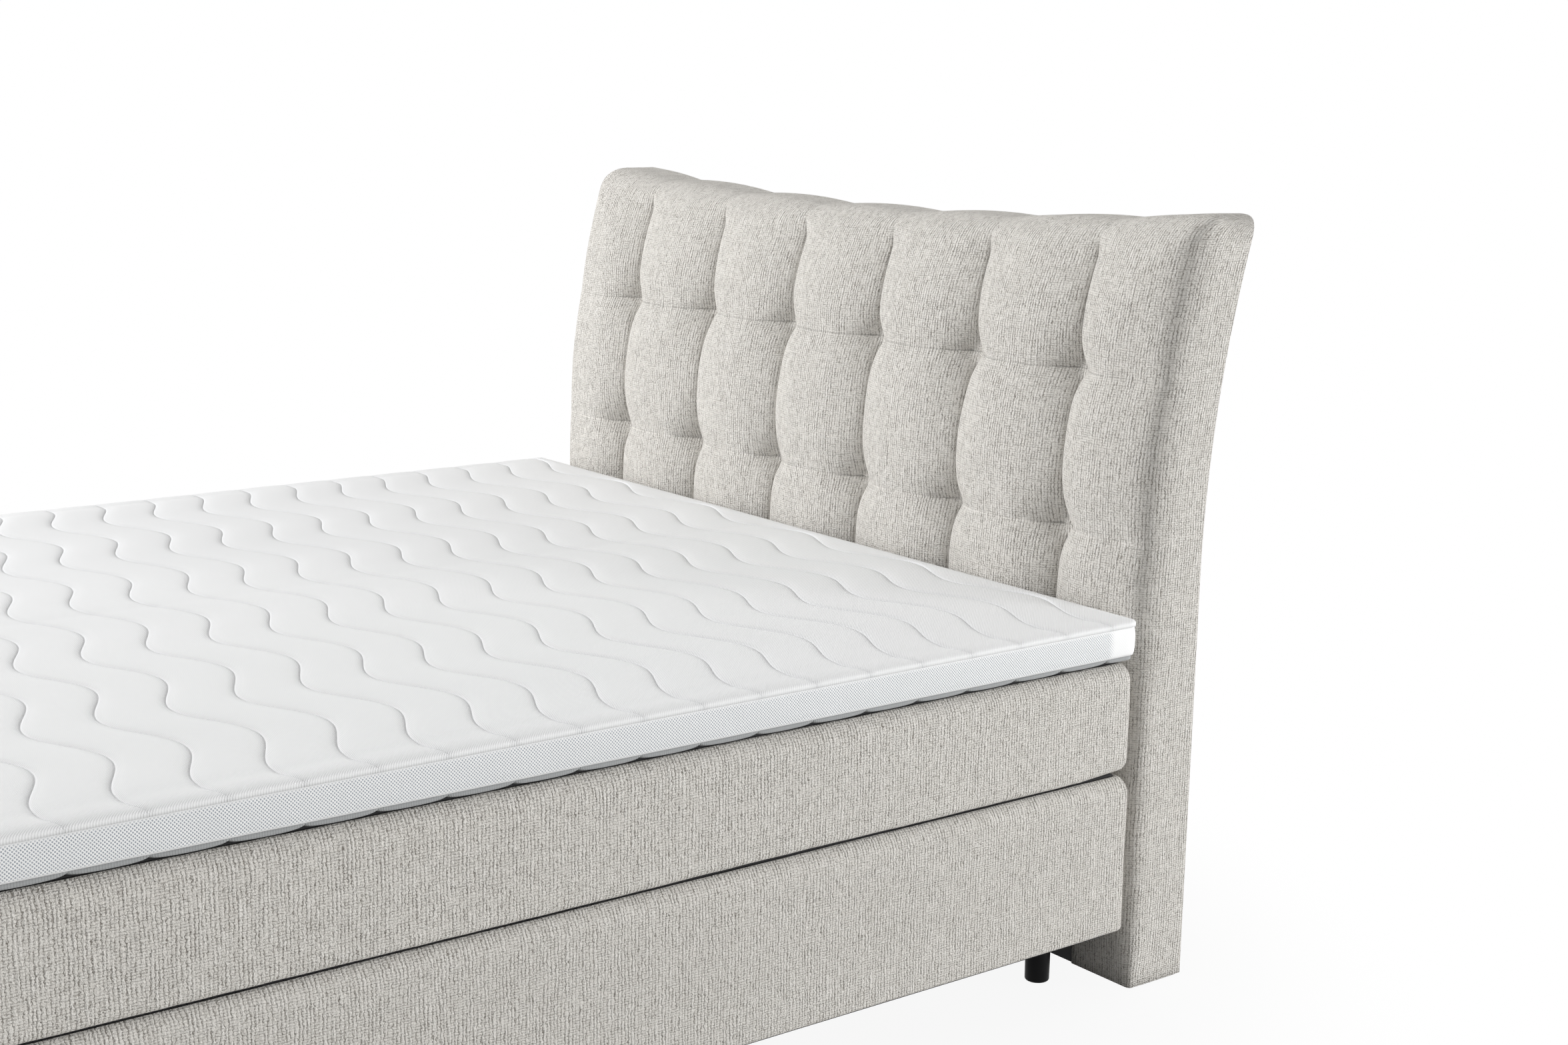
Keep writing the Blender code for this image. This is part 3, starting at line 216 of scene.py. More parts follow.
print("finishes")
weave = dict(
    warpPitch=0.0056,  # from yarn to yarn, across
    weftPitch=0.0038,
    wander=1.3,  # how far yarns stray, in yarns
    quiver=1.2,
    ridgeLength=0.034,  # a warp yarn stands proud for about this long
    rowLength=0.022,
    warpOpen=0.016,  # and the gap beside a yarn is open for about this long
    weftOpen=0.011,
    light=rgb(0.99, 0.966, 0.918),
    middle=rgb(0.86, 0.825, 0.77),
    # the dark colour of the gaps and pits between yarns, painted shade
    pit=rgb(0.150, 0.110, 0.072),
    gapShare=0.76,
    weftGapShare=0.55,  # the gaps beside the weft show less
    pitShare=0.50,
    streakLength=0.045,  # a darker stretch of a mottled yarn
    streakShare=0.09,
    thickness=0.0042,
)


def upholsteryFinish(s):
    fixed = dict(Roughness=0.95, Sheen_Weight=0.15, Sheen_Roughness=0.5, Specular_IOR_Level=0.12)
    f = Finish("upholstery", **fixed)
    u, v, seed = f.split(f.kept("weave"))
    strayU = (f.noise(f.join(u, v * 0.3, seed), 42.0) - 0.5) * s["wander"]
    strayV = (f.noise(f.join(u * 0.3, v, seed + 5.0), 42.0) - 0.5) * s["wander"]
    quick = (f.noise(f.join(u, v, seed + 3.0), 250.0) - 0.5) * s["quiver"]
    across = u / s["warpPitch"] + strayU + quick  # in yarns
    along = v / s["weftPitch"] + strayV - quick
    warp, weft = across.sum("FLOOR"), along.sum("FLOOR")
    warpLot, weftLot = f.chance(warp, seed), f.chance(seed, weft, 4.0)
    cellLot = f.chance(warp, weft, seed)

    def downWarp(lot, length, seed=seed):
        return f.noise(f.join(lot * 90.0, v / length, seed), 1.0)

    def alongWeft(lot, length, seed=seed):
        return f.noise(f.join(u / length, lot * 90.0, seed), 1.0)

    # Each yarn is round, stands proud in some stretches and dives under its neighbour at every other one
    fromWarp, fromWeft = across - warp - 0.5, along - weft - 0.5
    warpRound, weftRound = 1 - fromWarp * fromWarp * 4.0, 1 - fromWeft * fromWeft * 4.0
    proud = f.ease(downWarp(warpLot, s["ridgeLength"]), 0.46, 0.62)
    weftProud = f.ease(alongWeft(weftLot, s["rowLength"]), 0.50, 0.66)
    onTop = ((warp + weft) * 0.5).sum("FRACT") * 2.0
    warpHeight = warpRound * (onTop * 0.16 + proud * 0.50 + cellLot * 0.16 + 0.24)
    weftHeight = weftRound * (onTop * -0.16 + weftProud * 0.28 + cellLot * 0.20 + 0.40)
    fuzz = f.noise(f.join(u, v, seed), 620.0, 3.0, 0.7)
    body = warpHeight.sum("MAXIMUM", weftHeight) + (fuzz - 0.5) * 0.70
    # The gaps between yarns open and close along their length, and are pits where two of them cross; their
    # dark colour is painted shade in these hollows
    warpGap, weftGap = (across + 0.5).sum("FLOOR"), (along + 0.5).sum("FLOOR")
    warpGapLot, weftGapLot = f.chance(warpGap, seed, 9.0), f.chance(seed, weftGap, 13.0)
    warpOpen = f.ease(downWarp(warpGapLot, s["warpOpen"]), 0.40, 0.58)
    weftOpen = f.ease(alongWeft(weftGapLot, s["weftOpen"]), 0.43, 0.62)
    warpLine, weftLine = f.ease(warpRound, 0.60, 0.10), f.ease(weftRound, 0.70, 0.20)
    paintedGapShade = (warpLine * warpOpen).sum("MAXIMUM", weftLine * weftOpen * s["weftGapShare"]) * s["gapShare"]
    pit = warpLine * weftLine * (f.ease(cellLot, 0.25, 0.95) * 0.85 + 0.15) * s["pitShare"]
    paintedShade = paintedGapShade.sum("MAXIMUM", pit) * f.ease(fuzz, 0.74, 0.44)
    warpStreak = f.ease(downWarp(warpLot, s["streakLength"], seed + 8.0), 0.50, 0.36)
    weftStreak = f.ease(alongWeft(weftLot, s["streakLength"], seed + 9.0), 0.48, 0.36)
    streak = (warpStreak + weftStreak * 0.6) * f.ease(fuzz, 0.70, 0.36) * s["streakShare"]
    patch = f.noise(f.join(u, v * 0.7, seed), 18.0, 3.0)
    # Higher yarns are painted lighter and lower ones darker: painted shade, besides the yarns' own random
    # tone
    toneAndHeightShade = f.ease(body * 0.40 + fuzz * 0.60 + patch * 0.06, 0.20, 0.80)
    colour = f.mix(toneAndHeightShade, s["middle"], s["light"])
    f.set(Base_Color=f.mix((paintedShade + streak).sum("MINIMUM", 0.95), colour, s["pit"]))
    f.bump(body - paintedShade * 0.3, s["thickness"])
    return f.material


knit = dict(
    colour=rgb(0.825, 0.83, 0.835),
    # the knit seen from below is painted this darker grey: painted shade under the topper's edge
    under=rgb(0.34, 0.35, 0.355),
    shade=rgb(0.62, 0.63, 0.65),
    ribPitch=0.0025,
    ribTurn=-45.0,
    bump=0.00024,
)


def knitFinish(s, quilt):
    fixed = dict(Roughness=0.8, Sheen_Weight=0.12, Sheen_Roughness=0.4, Specular_IOR_Level=0.2)
    f = Finish("topper_knit", **fixed)
    x, y, shadedBelow = f.split(f.kept("weave"))
    turn = math.radians(s["ribTurn"])
    along = (x * math.cos(turn) + y * math.sin(turn)) / s["ribPitch"]
    across = (y * math.cos(turn) - x * math.sin(turn)) / s["ribPitch"]
    rib = (across * math.tau).sum("SINE") * 0.5 + 0.5
    bead = (along * math.pi + across.sum("FLOOR") * math.pi).sum("SINE").sum("ABSOLUTE")
    # How near the surface is to a quilting seam: the knit is stretched there, and its holes show
    wave = ((x - quilt["crest"]) * (math.tau / quilt["wave"])).sum("COSINE") * quilt["swing"]
    place = ((y - headEnd + quilt["first"] - wave) / quilt["pitch"]).sum("FRACT")
    nearSeam = (place - 0.5).sum("ABSOLUTE") * 2.0
    stretched = f.ease(nearSeam, 0.72, 0.95)
    hole = f.ease(rib * bead, 0.55, 0.2) * stretched
    stitch = (along * math.tau * 0.9).sum("SINE") * 0.5 + 0.5
    threadLine = f.ease(nearSeam, 0.965, 0.985)
    mottle = f.noise(f.join(x, y), 6.0, 3.0)
    shade = rib * 0.20 + hole * 0.20 + threadLine * stitch * 0.20 + mottle * 0.10 - 0.05
    colour = f.mix(shade.sum("MAXIMUM", 0.0), s["colour"], s["shade"])
    # The underside is painted darker: painted shade under the topper's edge
    f.set(Base_Color=f.mix(shadedBelow, colour, s["under"]))
    f.bump(rib * (bead * 0.4 + 0.6) - hole * 0.8 - threadLine * stitch * 1.2, s["bump"])
    return f.material


spacer = dict(
    yarn=rgb(0.86, 0.865, 0.87),
    hole=rgb(0.25, 0.29, 0.35),
    pitch=0.0034,
    fade=0.005,
    plainEnd=0.045,
    bump=0.0005,
)


def meshFinish(s, low, high):
    f = Finish("topper_mesh", Roughness=0.75, Sheen_Weight=0.1, Specular_IOR_Level=0.2)
    u, v, _ = f.split(f.kept("weave"))
    _, y, z = f.split(f.kept("place"))
    first = (u + v) / (s["pitch"] * math.sqrt(2))
    second = (u - v) / (s["pitch"] * math.sqrt(2))
    offset = f.join(first.sum("FRACT") - 0.5, second.sum("FRACT") - 0.5)
    reach = f.add("VectorMath", dict(operation="LENGTH"), {0: offset})["Value"]
    hole = f.ease(reach, 0.40, 0.22)
    inside = f.ease(z, low, low + s["fade"]) * f.ease(z, high, high - s["fade"])
    ends = f.ease(y, footEnd + s["plainEnd"], footEnd + s["plainEnd"] * 1.4)
    ends = ends * f.ease(y, headEnd - s["plainEnd"], headEnd - s["plainEnd"] * 1.4)
    open_ = hole * (inside * 0.72 + 0.06) * ends
    f.set(Base_Color=f.mix(open_, s["yarn"], s["hole"]))
    f.bump(1 - open_ - (reach * 6.0).sum("SINE") * 0.1, s["bump"])
    return f.material


def bondedCloth(f, place, scale):
    # A thin fleece of short fibres with a grid of pressed dots
    fibres = f.noise(place, scale, 6.0, 0.75)
    blots = f.noise(place, scale * 0.06, 3.0)
    x, y, z = f.split(place)
    dots = (x * 1900.0).sum("SINE") * ((y + z) * 1900.0).sum("SINE")
    return f.ease(fibres + blots * 0.4, 0.5, 0.95), fibres + dots * 0.25


def timber(f, place, ringScale, stretch):
    along = f.scaled(place, stretch)
    warp = f.noise(along, 3.0, 3.0)
    shift = f.join(warp * 0.25, warp * 0.2, warp * 0.3)
    moved = f.add("VectorMath", dict(operation="ADD"), {0: along, 1: shift})[0]
    values = {"Vector": moved, "Scale": ringScale, "Distortion": 3.5, "Detail": 3.0}
    rings = f.add("TexWave", dict(bands_direction="DIAGONAL"), values)["Fac"]
    pores = f.noise(along, 90.0, 4.0, 0.6)
    f.set(Roughness=rings * 0.12 + 0.52)
    return rings * 0.7 + pores * 0.3, rings * 0.5 + pores


def foam(f, place):
    cells = f.add("TexVoronoi", None, {"Vector": place, "Scale": 420.0})["Distance"]
    return f.ease(cells + f.noise(place, 14.0, 3.0) * 0.4, 0.25, 0.9), cells


def fleece(f, place):
    # A weld between the pockets and fine wrinkles over the coils
    x, y, z = f.split(place)
    welds = ((x * 78.0).sum("SINE") * (y * 78.0).sum("SINE")).sum("ABSOLUTE")
    wrinkles = f.noise(f.join(x * 3.0, y * 3.0, z * 0.8), 40.0, 4.0)
    fibres = f.noise(place, 700.0, 4.0)
    shade = (1 - f.ease(welds, 0.02, 0.25)) * 0.5 + wrinkles * 0.3 + fibres * 0.2
    return shade, wrinkles + fibres * 0.2


def plastic(f, place):
    grain = f.noise(place, 900.0, 3.0)
    scuffs = f.ease(f.noise(place, 60.0, 5.0, 0.7), 0.58, 0.75)
    f.set(Roughness=scuffs * 0.2 + grain * 0.12 + 0.38)
    return scuffs * 0.5, grain


def steel(f, place):
    spangle = f.noise(place, 130.0, 4.0, 0.65)
    lines = f.noise(f.scaled(place, (6.0, 900.0, 900.0)), 1.0, 2.0)
    f.set(Roughness=spangle * 0.2 + lines * 0.15 + 0.22)
    return spangle, lines + spangle * 0.5


def cord(f, place):
    x, y, z = f.split(place)
    lay = ((x + y + z * 2.0) * 2600.0).sum("SINE") * 0.5 + 0.5
    fibres = f.noise(place, 1500.0, 3.0)
    return lay * 0.6 + fibres * 0.3, lay + fibres * 0.4


def plainFinish(name, draw, relief, first, second, shape=(), **fixed):
    f = Finish(name, **fixed)
    share, height = draw(f, f.place(), *shape)
    f.set(Base_Color=f.mix(share, rgb(*first), rgb(*second)))
    f.bump(height, relief)
    return f.material


quiltSet = dict(
    pitch=0.0985,  # from one wavy seam to the next
    wave=0.3115,
    swing=0.025,
    first=0.045,  # from the head end to the middle of the first seam
    crest=0.070,
    seams=20,
)

bandLow, bandHigh = (corner.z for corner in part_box("topper_border"))
finishes = dict(
    upholstery=upholsteryFinish(weave),
    topper_knit=knitFinish(knit, quiltSet),
    topper_mesh=meshFinish(spacer, bandLow, bandHigh),
)
plainSet = dict(
    black_lining=dict(
        draw=bondedCloth, shape=(500.0,), relief=0.0004, Roughness=0.85,
        first=(0.012, 0.012, 0.013), second=(0.0204, 0.0204, 0.0221),
    ),
    grey_felt=dict(
        draw=bondedCloth, shape=(260.0,), relief=0.0004, Roughness=0.95,
        first=(0.22, 0.22, 0.23), second=(0.374, 0.374, 0.391),
    ),
    pine=dict(
        draw=timber, shape=(9.0, (1.0, 5.0, 5.0)), relief=0.0004,
        first=(0.66, 0.47, 0.27), second=(0.46, 0.28, 0.13),
    ),
    fibreboard=dict(
        draw=timber, shape=(40.0, (7.0, 7.0, 7.0)), relief=0.0004,
        first=(0.40, 0.27, 0.16), second=(0.30, 0.19, 0.10),
    ),
    foam=dict(
        draw=foam, relief=0.0006, Roughness=0.9, first=(0.70, 0.64, 0.46), second=(0.84, 0.80, 0.66),
    ),
    pocket_fleece=dict(
        draw=fleece, relief=0.002, Roughness=0.85, first=(0.80, 0.81, 0.82), second=(0.56, 0.57, 0.59),
    ),
    black_plastic=dict(
        draw=plastic, relief=0.00015, Specular_IOR_Level=0.10,
        first=(0.004, 0.004, 0.0045), second=(0.022, 0.022, 0.023),
    ),
    zinc_steel=dict(
        draw=steel, relief=0.0001, Metallic=1.0, first=(0.66, 0.67, 0.66), second=(0.50, 0.50, 0.48),
    ),
    tie_cord=dict(
        draw=cord, relief=0.0005, Roughness=0.85, first=(0.62, 0.59, 0.51), second=(0.36, 0.33, 0.27),
    ),
)
for name, s in plainSet.items():
    finishes[name] = plainFinish(name, **s)

for part in frame["record"]["subparts"]:
    node = nodes[part["node"]]
    node.data.materials.clear()
    node.data.materials.append(finishes[part["material_slot"]])


# Mesh tools


def addPiece(name, points, faces, slot, body, stands=(), cloth=None, place=False, turn=False):
    # cloth is each point's place on the flat cloth, place keeps each point's place on the bed
    mesh = bpy.data.meshes.new(name)
    mesh.from_pydata(np.asarray(points, float).tolist(), [], faces)
    for label, values in (("weave", cloth), ("place", points if place else None)):
        if values is not None:
            layer = mesh.attributes.new(label, "FLOAT_VECTOR", "POINT")
            layer.data.foreach_set("vector", np.asarray(values, np.float32).ravel())
    shape = bmesh.new()
    shape.from_mesh(mesh)
    loose = [v for v in shape.verts if not v.link_faces]
    bmesh.ops.delete(shape, geom=loose, context="VERTS")
    bmesh.ops.remove_doubles(shape, verts=shape.verts, dist=1e-6)
    if turn:
        bmesh.ops.recalc_face_normals(shape, faces=shape.faces)
    shape.to_mesh(mesh)
    shape.free()
    mesh.shade_smooth()
    piece = placed(name, mesh)
    mesh.materials.append(finishes[slot])
    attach(piece, body)
    if stands:
        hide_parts(*stands)
    return piece


def gridFaces(columns, rows, keep=None):
    faces = []
    for i in range(columns - 1):
        for j in range(rows - 1):
            if keep is None or keep(i, j):
                a = i * rows + j
                faces.append((a, a + rows, a + rows + 1, a + 1))
    return faces


def loopFaces(first, second):
    # Quads between two rings of point numbers of the same length
    return list(zip(first, first[1:] + first[:1], second[1:] + second[:1], second))


def ringFaces(rings, count, closed=False):
    # Quads between rings of count points that follow one another
    faces = []
    for ring in range(rings if closed else rings - 1):
        after = (ring + 1) % rings
        first, second = ([start * count + k for k in range(count)] for start in (ring, after))
        faces += loopFaces(first, second)
    return faces


def circle(sides):
    return [(math.cos(math.tau * k / sides), math.sin(math.tau * k / sides)) for k in range(sides)]


def gridRim(columns, rows):
    # The point numbers round a grid's edge
    rim = [i * rows for i in range(columns)]
    rim += [(columns - 1) * rows + j for j in range(1, rows)]
    rim += [i * rows + rows - 1 for i in range(columns - 2, -1, -1)]
    return rim + list(range(rows - 2, 0, -1))


def thicken(piece, thickness):
    shell = piece.modifiers.new("thickness", "SOLIDIFY")
    shell.thickness = thickness
    shell.offset = -1.0
    shell.use_rim = True


def crowd(reach, count):
    # Steps up to reach that lie closer together near 0
    return [reach * (1 - math.cos(math.pi / 2 * k / count)) for k in range(1, count + 1)]


def smooth(share):
    share = np.clip(share, 0.0, 1.0)
    return share * share * (3 - 2 * share)


def waver(x, y, length, seed):
    # Soft uneven hills, about one length across, from -1 to 1
    total = 0.0
    for k in range(5):
        angle = 2.4 * (k + 1) + 1.7 * seed
        pace = math.tau / length * (0.55 + 0.2 * k)
        total = total + np.sin((x * math.cos(angle) + y * math.sin(angle)) * pace + 4.1 * k + 2.3 * seed)
    return total / 3


def fallAt(reach, radius):
    # How far a round edge of this radius has fallen, reach beyond its start
    reach = np.clip(reach, 0.0, radius)
    return radius - np.sqrt(radius**2 - reach**2)


# Headboard

print("headboard")
board = dict(
    half=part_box("headboard_cover")[1].x,
    bottom=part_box("headboard_cover")[0].z,
    back=0.1725,  # places along Y count from the boxes' head end, before the lean
    legFront=0.0465,
    crown=0.018,
    edge=0.047,
    endHeight=1.280,
    topDip=0.037,
    endDroop=0.002,  # how much the top falls towards its two corners
    endDroopFrom=0.150,
    edgeRound=0.056,
    depthPower=2.3,
    cornerPower=3.8,  # 2 is a round corner, more is squarer
    edgeFall=0.200,  # how far from the edge the padding starts to thin
    legRound=0.028,
    legRoundLow=0.008,
    legCrown=0.006,
    backRound=0.006,
    backReturn=0.014,
    leanStart=0.680,
    leanRadius=1.950,
    swellLow=0.460,
    swellHigh=0.630,
    legWidth=0.135,
    shelfLow=0.411,
    tuftPitch=0.2624,
    tuftRows=(0.751, 1.013),
    creaseDepth=0.042,
    topCreaseDepth=0.026,
    tuftPull=0.062,
    deepest=0.0635,  # short of the foam
    fullness=2.2,  # how square the padding is between creases; 2 is an ellipse
    rowFold=0.009,
    topFoldFrom=0.04,  # above the upper row, the creases grow shallower
    hemRise=0.09,  # how far up the leg's edge goes on getting rounder
    scallop=0.006,
    cloth=0.0022,
    # The cloth's unevenness: how much, and how far from hill to hill
    hill=0.0012,
    hillLength=0.16,
    legHillLength=0.12,
    sideHill=0.0007,
    sideHillLength=0.13,
    unevenLength=0.45,
    stray=0.003,
    strayLength=0.60,
    strayEnds=0.15,  # and how far from the board's ends, top and shelf it fades
    strayTop=0.10,
    strayLow=0.10,
)
tuftColumns = [board["tuftPitch"] * (k - 2.5) for k in range(6)]


def lean(z):
    rise = np.maximum(0.0, z - board["leanStart"])
    return board["leanRadius"] - np.sqrt(board["leanRadius"] ** 2 - rise**2)


def creaseShare(x):
    # 0 on a crease, 1 on the crown between two creases and outside the last one
    nearest = np.min([np.abs(x - column) for column in tuftColumns], axis=0)
    return np.minimum(1.0, nearest / (board["tuftPitch"] / 2))


def rowShare(z):
    nearest = np.min([np.abs(z - row) for row in board["tuftRows"]], axis=0)
    half = (board["tuftRows"][1] - board["tuftRows"][0]) / 2
    return np.minimum(1.0, nearest / half)


def foldShape(share):
    left = 1 - share
    round_ = 1 - np.maximum(0.0, 1 - left ** board["fullness"]) ** (1 / board["fullness"])
    return 0.5 * round_ + 0.5 * left**2


def topEdge(x):
    height = board["endHeight"] - board["topDip"] * (1 - (x / board["half"]) ** 2)
    near = np.clip((np.abs(x) - board["half"]) / board["endDroopFrom"] + 1, 0.0, 1.0)
    return height - board["scallop"] * (1 - creaseShare(x)) ** 2 - board["endDroop"] * near**2


def paddingDepth(x, z):
    # How far the cloth is drawn in, from the crowns of the pillows
    s, r = creaseShare(x), rowShare(z)
    start = board["tuftRows"][1] + board["topFoldFrom"]
    above = smooth((z - start) / (board["endHeight"] - start))
    crease = board["creaseDepth"] + (board["topCreaseDepth"] - board["creaseDepth"]) * above
    uneven = 1 + 0.10 * waver(x, z, board["unevenLength"], 1)
    down = (crease + (board["tuftPull"] - board["creaseDepth"]) * (1 - r) ** 2) * foldShape(s) * uneven
    # The fold across is sharp beside a tuft and a shallow valley half way to the next
    beside = np.minimum(1.0, r * 1.3)
    sharp = board["tuftPull"] * (1 - s) ** 3.2 * (0.35 * foldShape(beside) + 0.65 * (1 - beside) ** 2.5)
    across = (sharp + board["rowFold"] * (1 - r) ** 2) * uneven
    return np.minimum(board["deepest"], (down**2.2 + across**2.2) ** (1 / 2.2))


def boardFront(x, z, top, fromRim):
    # fromRim is how far a point lies outside the line where the rounded edge starts
    swell = smooth((z - board["swellLow"]) / (board["swellHigh"] - board["swellLow"]))
    inset = np.minimum(board["half"] - np.abs(x), top - z)
    open_ = np.clip(inset / board["edgeFall"], 0.0, 1.0)
    crest = board["edge"] + (board["crown"] - board["edge"]) * np.sin(open_ * math.pi / 2)
    drawn = paddingDepth(x, z) * smooth(inset / (1.2 * board["edgeRound"]))
    radius = board["edgeRound"]
    power = board["depthPower"]
    full = crest + drawn + radius * (1 - np.maximum(0.0, 1 - (fromRim / radius) ** power) ** (1 / power))
    full = full + board["hill"] * waver(x, z, board["hillLength"], 3) * open_
    low = smooth((z - board["bottom"]) / board["hemRise"])
    legRound = board["legRoundLow"] + (board["legRound"] - board["legRoundLow"]) * low
    legRim = np.clip(fromRim - (radius - legRound), 0.0, legRound)
    legEdge = legRound - np.sqrt(legRound**2 - legRim**2)
    fromLeg = (np.abs(x) - (board["half"] - board["legWidth"] / 2)) / (board["legWidth"] / 2)
    crown = board["legCrown"] * np.maximum(0.0, 1 - fromLeg**2) * low
    legHills = board["hill"] * waver(x, z, board["legHillLength"], 4) * low
    plain = board["legFront"] - crown + legEdge + legHills
    return plain * (1 - swell) + full * swell


rimSteps = 12
creaseSteps = 12
lastSteps = 9  # from the last crease to the leg
rowSteps = 11


def aroundFold(fold, before, after):
    # Places on both sides of a fold, closer together near it
    return [fold - step for step in reversed(before[:-1])] + [fold] + [fold + step for step in after]


def boardColumns():
    half = board["half"]
    legInner = half - board["legWidth"]
    near = crowd(board["tuftPitch"] / 2, creaseSteps)
    xs = [0.0]
    for crease in tuftColumns[3:]:
        after = near if crease < tuftColumns[-1] else crowd(legInner - crease, lastSteps)
        xs += aroundFold(crease, near, after)
    flat = half - board["edgeRound"]
    xs += list(np.linspace(legInner, flat, 7)[1:])
    xs += [flat + board["edgeRound"] * math.sin(math.pi / 2 * k / rimSteps) for k in range(1, rimSteps + 1)]
    return np.array([-x for x in reversed(xs[1:])] + xs)


def boardRows():
    low, high = board["tuftRows"]
    half = (high - low) / 2
    rows = list(np.linspace(board["bottom"], board["shelfLow"], 18))
    rows += list(np.linspace(board["shelfLow"], board["swellLow"], 4)[1:])
    rows += list(np.linspace(board["swellLow"], low - half, 11)[1:])
    near = crowd(half, rowSteps)
    return rows + aroundFold(low, near, near) + aroundFold(high, near, near)


def alongCloth(points, axis, breaks, origins):
    # Length along the cloth, counted in each panel from its crown, so that it is taken up in the folds
    steps = np.linalg.norm(np.diff(points, axis=axis), axis=2)
    total = np.cumsum(np.concatenate([np.zeros_like(np.take(steps, [0], axis)), steps], axis), axis)
    count = points.shape[axis]
    made = np.zeros(points.shape[:2])
    for first, last, crown, origin in zip([0] + breaks, breaks + [count], *origins):
        part = np.take(total, range(first, last), axis) - np.take(total, [crown], axis) + origin
        if axis == 0:
            made[first:last] = part
        else:
            made[:, first:last] = part
    return made


def rimPlaces(xs, z, top):
    # In the two upper corners the square of the grid is drawn onto a soft corner
    radius = board["edgeRound"]
    a = np.maximum(0.0, np.abs(xs) - (board["half"] - radius))[:, None] / radius
    b = np.maximum(0.0, z - (top[:, None] - radius)) / radius
    a = np.repeat(a, z.shape[1], axis=1)
    power = board["cornerPower"]
    roundA, roundB = a * (1 - b**power / 2) ** (1 / power), b * (1 - a**power / 2) ** (1 / power)
    x = np.repeat(xs[:, None], z.shape[1], axis=1) - np.sign(xs)[:, None] * (a - roundA) * radius
    reach = np.minimum(1.0, (roundA**power + roundB**power) ** (1 / power)) * radius
    return x, z - (b - roundB) * radius, reach


def makeHeadboard():
    xs = boardColumns()
    base = boardRows()
    columns, fixed = len(xs), len(base)
    top = topEdge(xs)
    heights = [np.full(columns, z) for z in base]
    start = base[-1]
    for share in np.linspace(0, 1, 8)[1:]:
        heights.append(start + (top - board["edgeRound"] - start) * share)
    for k in range(1, rimSteps + 1):
        heights.append(top - board["edgeRound"] * (1 - math.sin(math.pi / 2 * k / rimSteps)))
    x, z, fromRim = rimPlaces(xs, np.array(heights).T, top)
    depth = boardFront(x, z, top[:, None], fromRim)
    inside = smooth((board["half"] - np.abs(x)) / board["strayEnds"])
    inside = inside * smooth((top[:, None] - z) / board["strayTop"])
    above = smooth((z - board["swellLow"]) / board["strayLow"])
    stray = board["stray"] * waver(x, z, board["strayLength"], 9) * inside * above
    points = np.stack([x + stray, headEnd + depth + lean(z), z], axis=2)
    rows = z.shape[1]
    nearest = [int(np.argmin(np.abs(xs - column))) for column in tuftColumns]
    crowns = [int(np.argmin(np.abs(xs - board["tuftPitch"] * k))) for k in range(-3, 4)]
    u = alongCloth(points, 0, nearest, (crowns, [xs[k] for k in crowns]))
    rowBreaks = [base.index(row) for row in board["tuftRows"]]
    middles = [fixed - 1 - 4 * rowSteps, fixed - 1 - 2 * rowSteps, fixed - 1]
    v = alongCloth(points, 1, rowBreaks, (middles, [base[k] for k in middles]))
    legInner = board["half"] - board["legWidth"]

    def covered(i, j):
        between = abs(xs[i] + xs[i + 1]) / 2 < legInner
        return not (between and base[min(j, fixed - 1)] < board["shelfLow"] - 1e-6)

    faces = gridFaces(columns, rows, covered)
    cloth = np.stack([u, v, np.full_like(u, 0.3)], axis=2).reshape(-1, 3)
    points = points.reshape(-1, 3)
    rim = list(range(rows)) + [i * rows + rows - 1 for i in range(1, columns)]
    rim += [(columns - 1) * rows + j for j in range(rows - 2, -1, -1)]
    points, cloth, faces = wrapRound(points, cloth, faces, rim)
    cover = addPiece("headboardUpholstery", points, faces, "upholstery", "root", ["headboard_cover"], cloth)
    thicken(cover, board["cloth"])


def wrapRound(points, cloth, faces, rim):
    # From the front's edge, the cloth runs over the sides and the top and a little way onto the back
    edge = points[rim]
    ahead = np.roll(edge, -1, axis=0) - np.roll(edge, 1, axis=0)
    ahead[0], ahead[-1] = edge[1] - edge[0], edge[-1] - edge[-2]
    away = np.stack([-ahead[:, 2], ahead[:, 0]], axis=1)
    away /= np.linalg.norm(away, axis=1)[:, None]
    flat = edge[:, 1] - lean(edge[:, 2]) - headEnd
    stops = []  # how far in from the edge, how far back, and how loose the cloth lies there
    turn, straight = board["backRound"], board["back"] - board["backRound"]
    for share in np.linspace(0, 1, 9)[1:]:
        stops.append((0.0, flat + (straight - flat) * share, math.sin(math.pi * share)))
    for k in range(1, 5):
        angle = math.pi / 2 * k / 4
        stops.append((turn * (1 - math.cos(angle)), straight + turn * math.sin(angle), 0.0))
    for share in (0.5, 1.0):
        stops.append((turn + board["backReturn"] * share, np.full_like(flat, board["back"]), 0.0))
    allPoints, allCloth = [points], [cloth]
    before, last, travelled = edge, list(rim), np.zeros(len(rim))
    for inset, place, loose in stops:
        hills = waver(place + edge[:, 0], edge[:, 2], board["sideHillLength"], 6)
        puff = board["sideHill"] * loose * hills
        across = edge[:, 0] + away[:, 0] * (puff - inset)
        up = np.maximum(edge[:, 2] + away[:, 1] * (puff - inset), board["bottom"])
        ring = np.stack([across, headEnd + place + lean(up), up], axis=1)
        travelled = travelled + np.linalg.norm(ring - before, axis=1)
        worn = cloth[rim] + np.stack([away[:, 0] * travelled, away[:, 1] * travelled, travelled * 0], axis=1)
        first = sum(len(part) for part in allPoints)
        numbers = list(range(first, first + len(rim)))
        faces += zip(last, last[1:], numbers[1:], numbers)
        allPoints.append(ring)
        allCloth.append(worn)
        before, last = ring, numbers
    return np.concatenate(allPoints), np.concatenate(allCloth), faces


makeHeadboard()


# Boxes and mattress

clothSeam = 0.0012  # the gap where the two ends of a cloth that goes all round meet


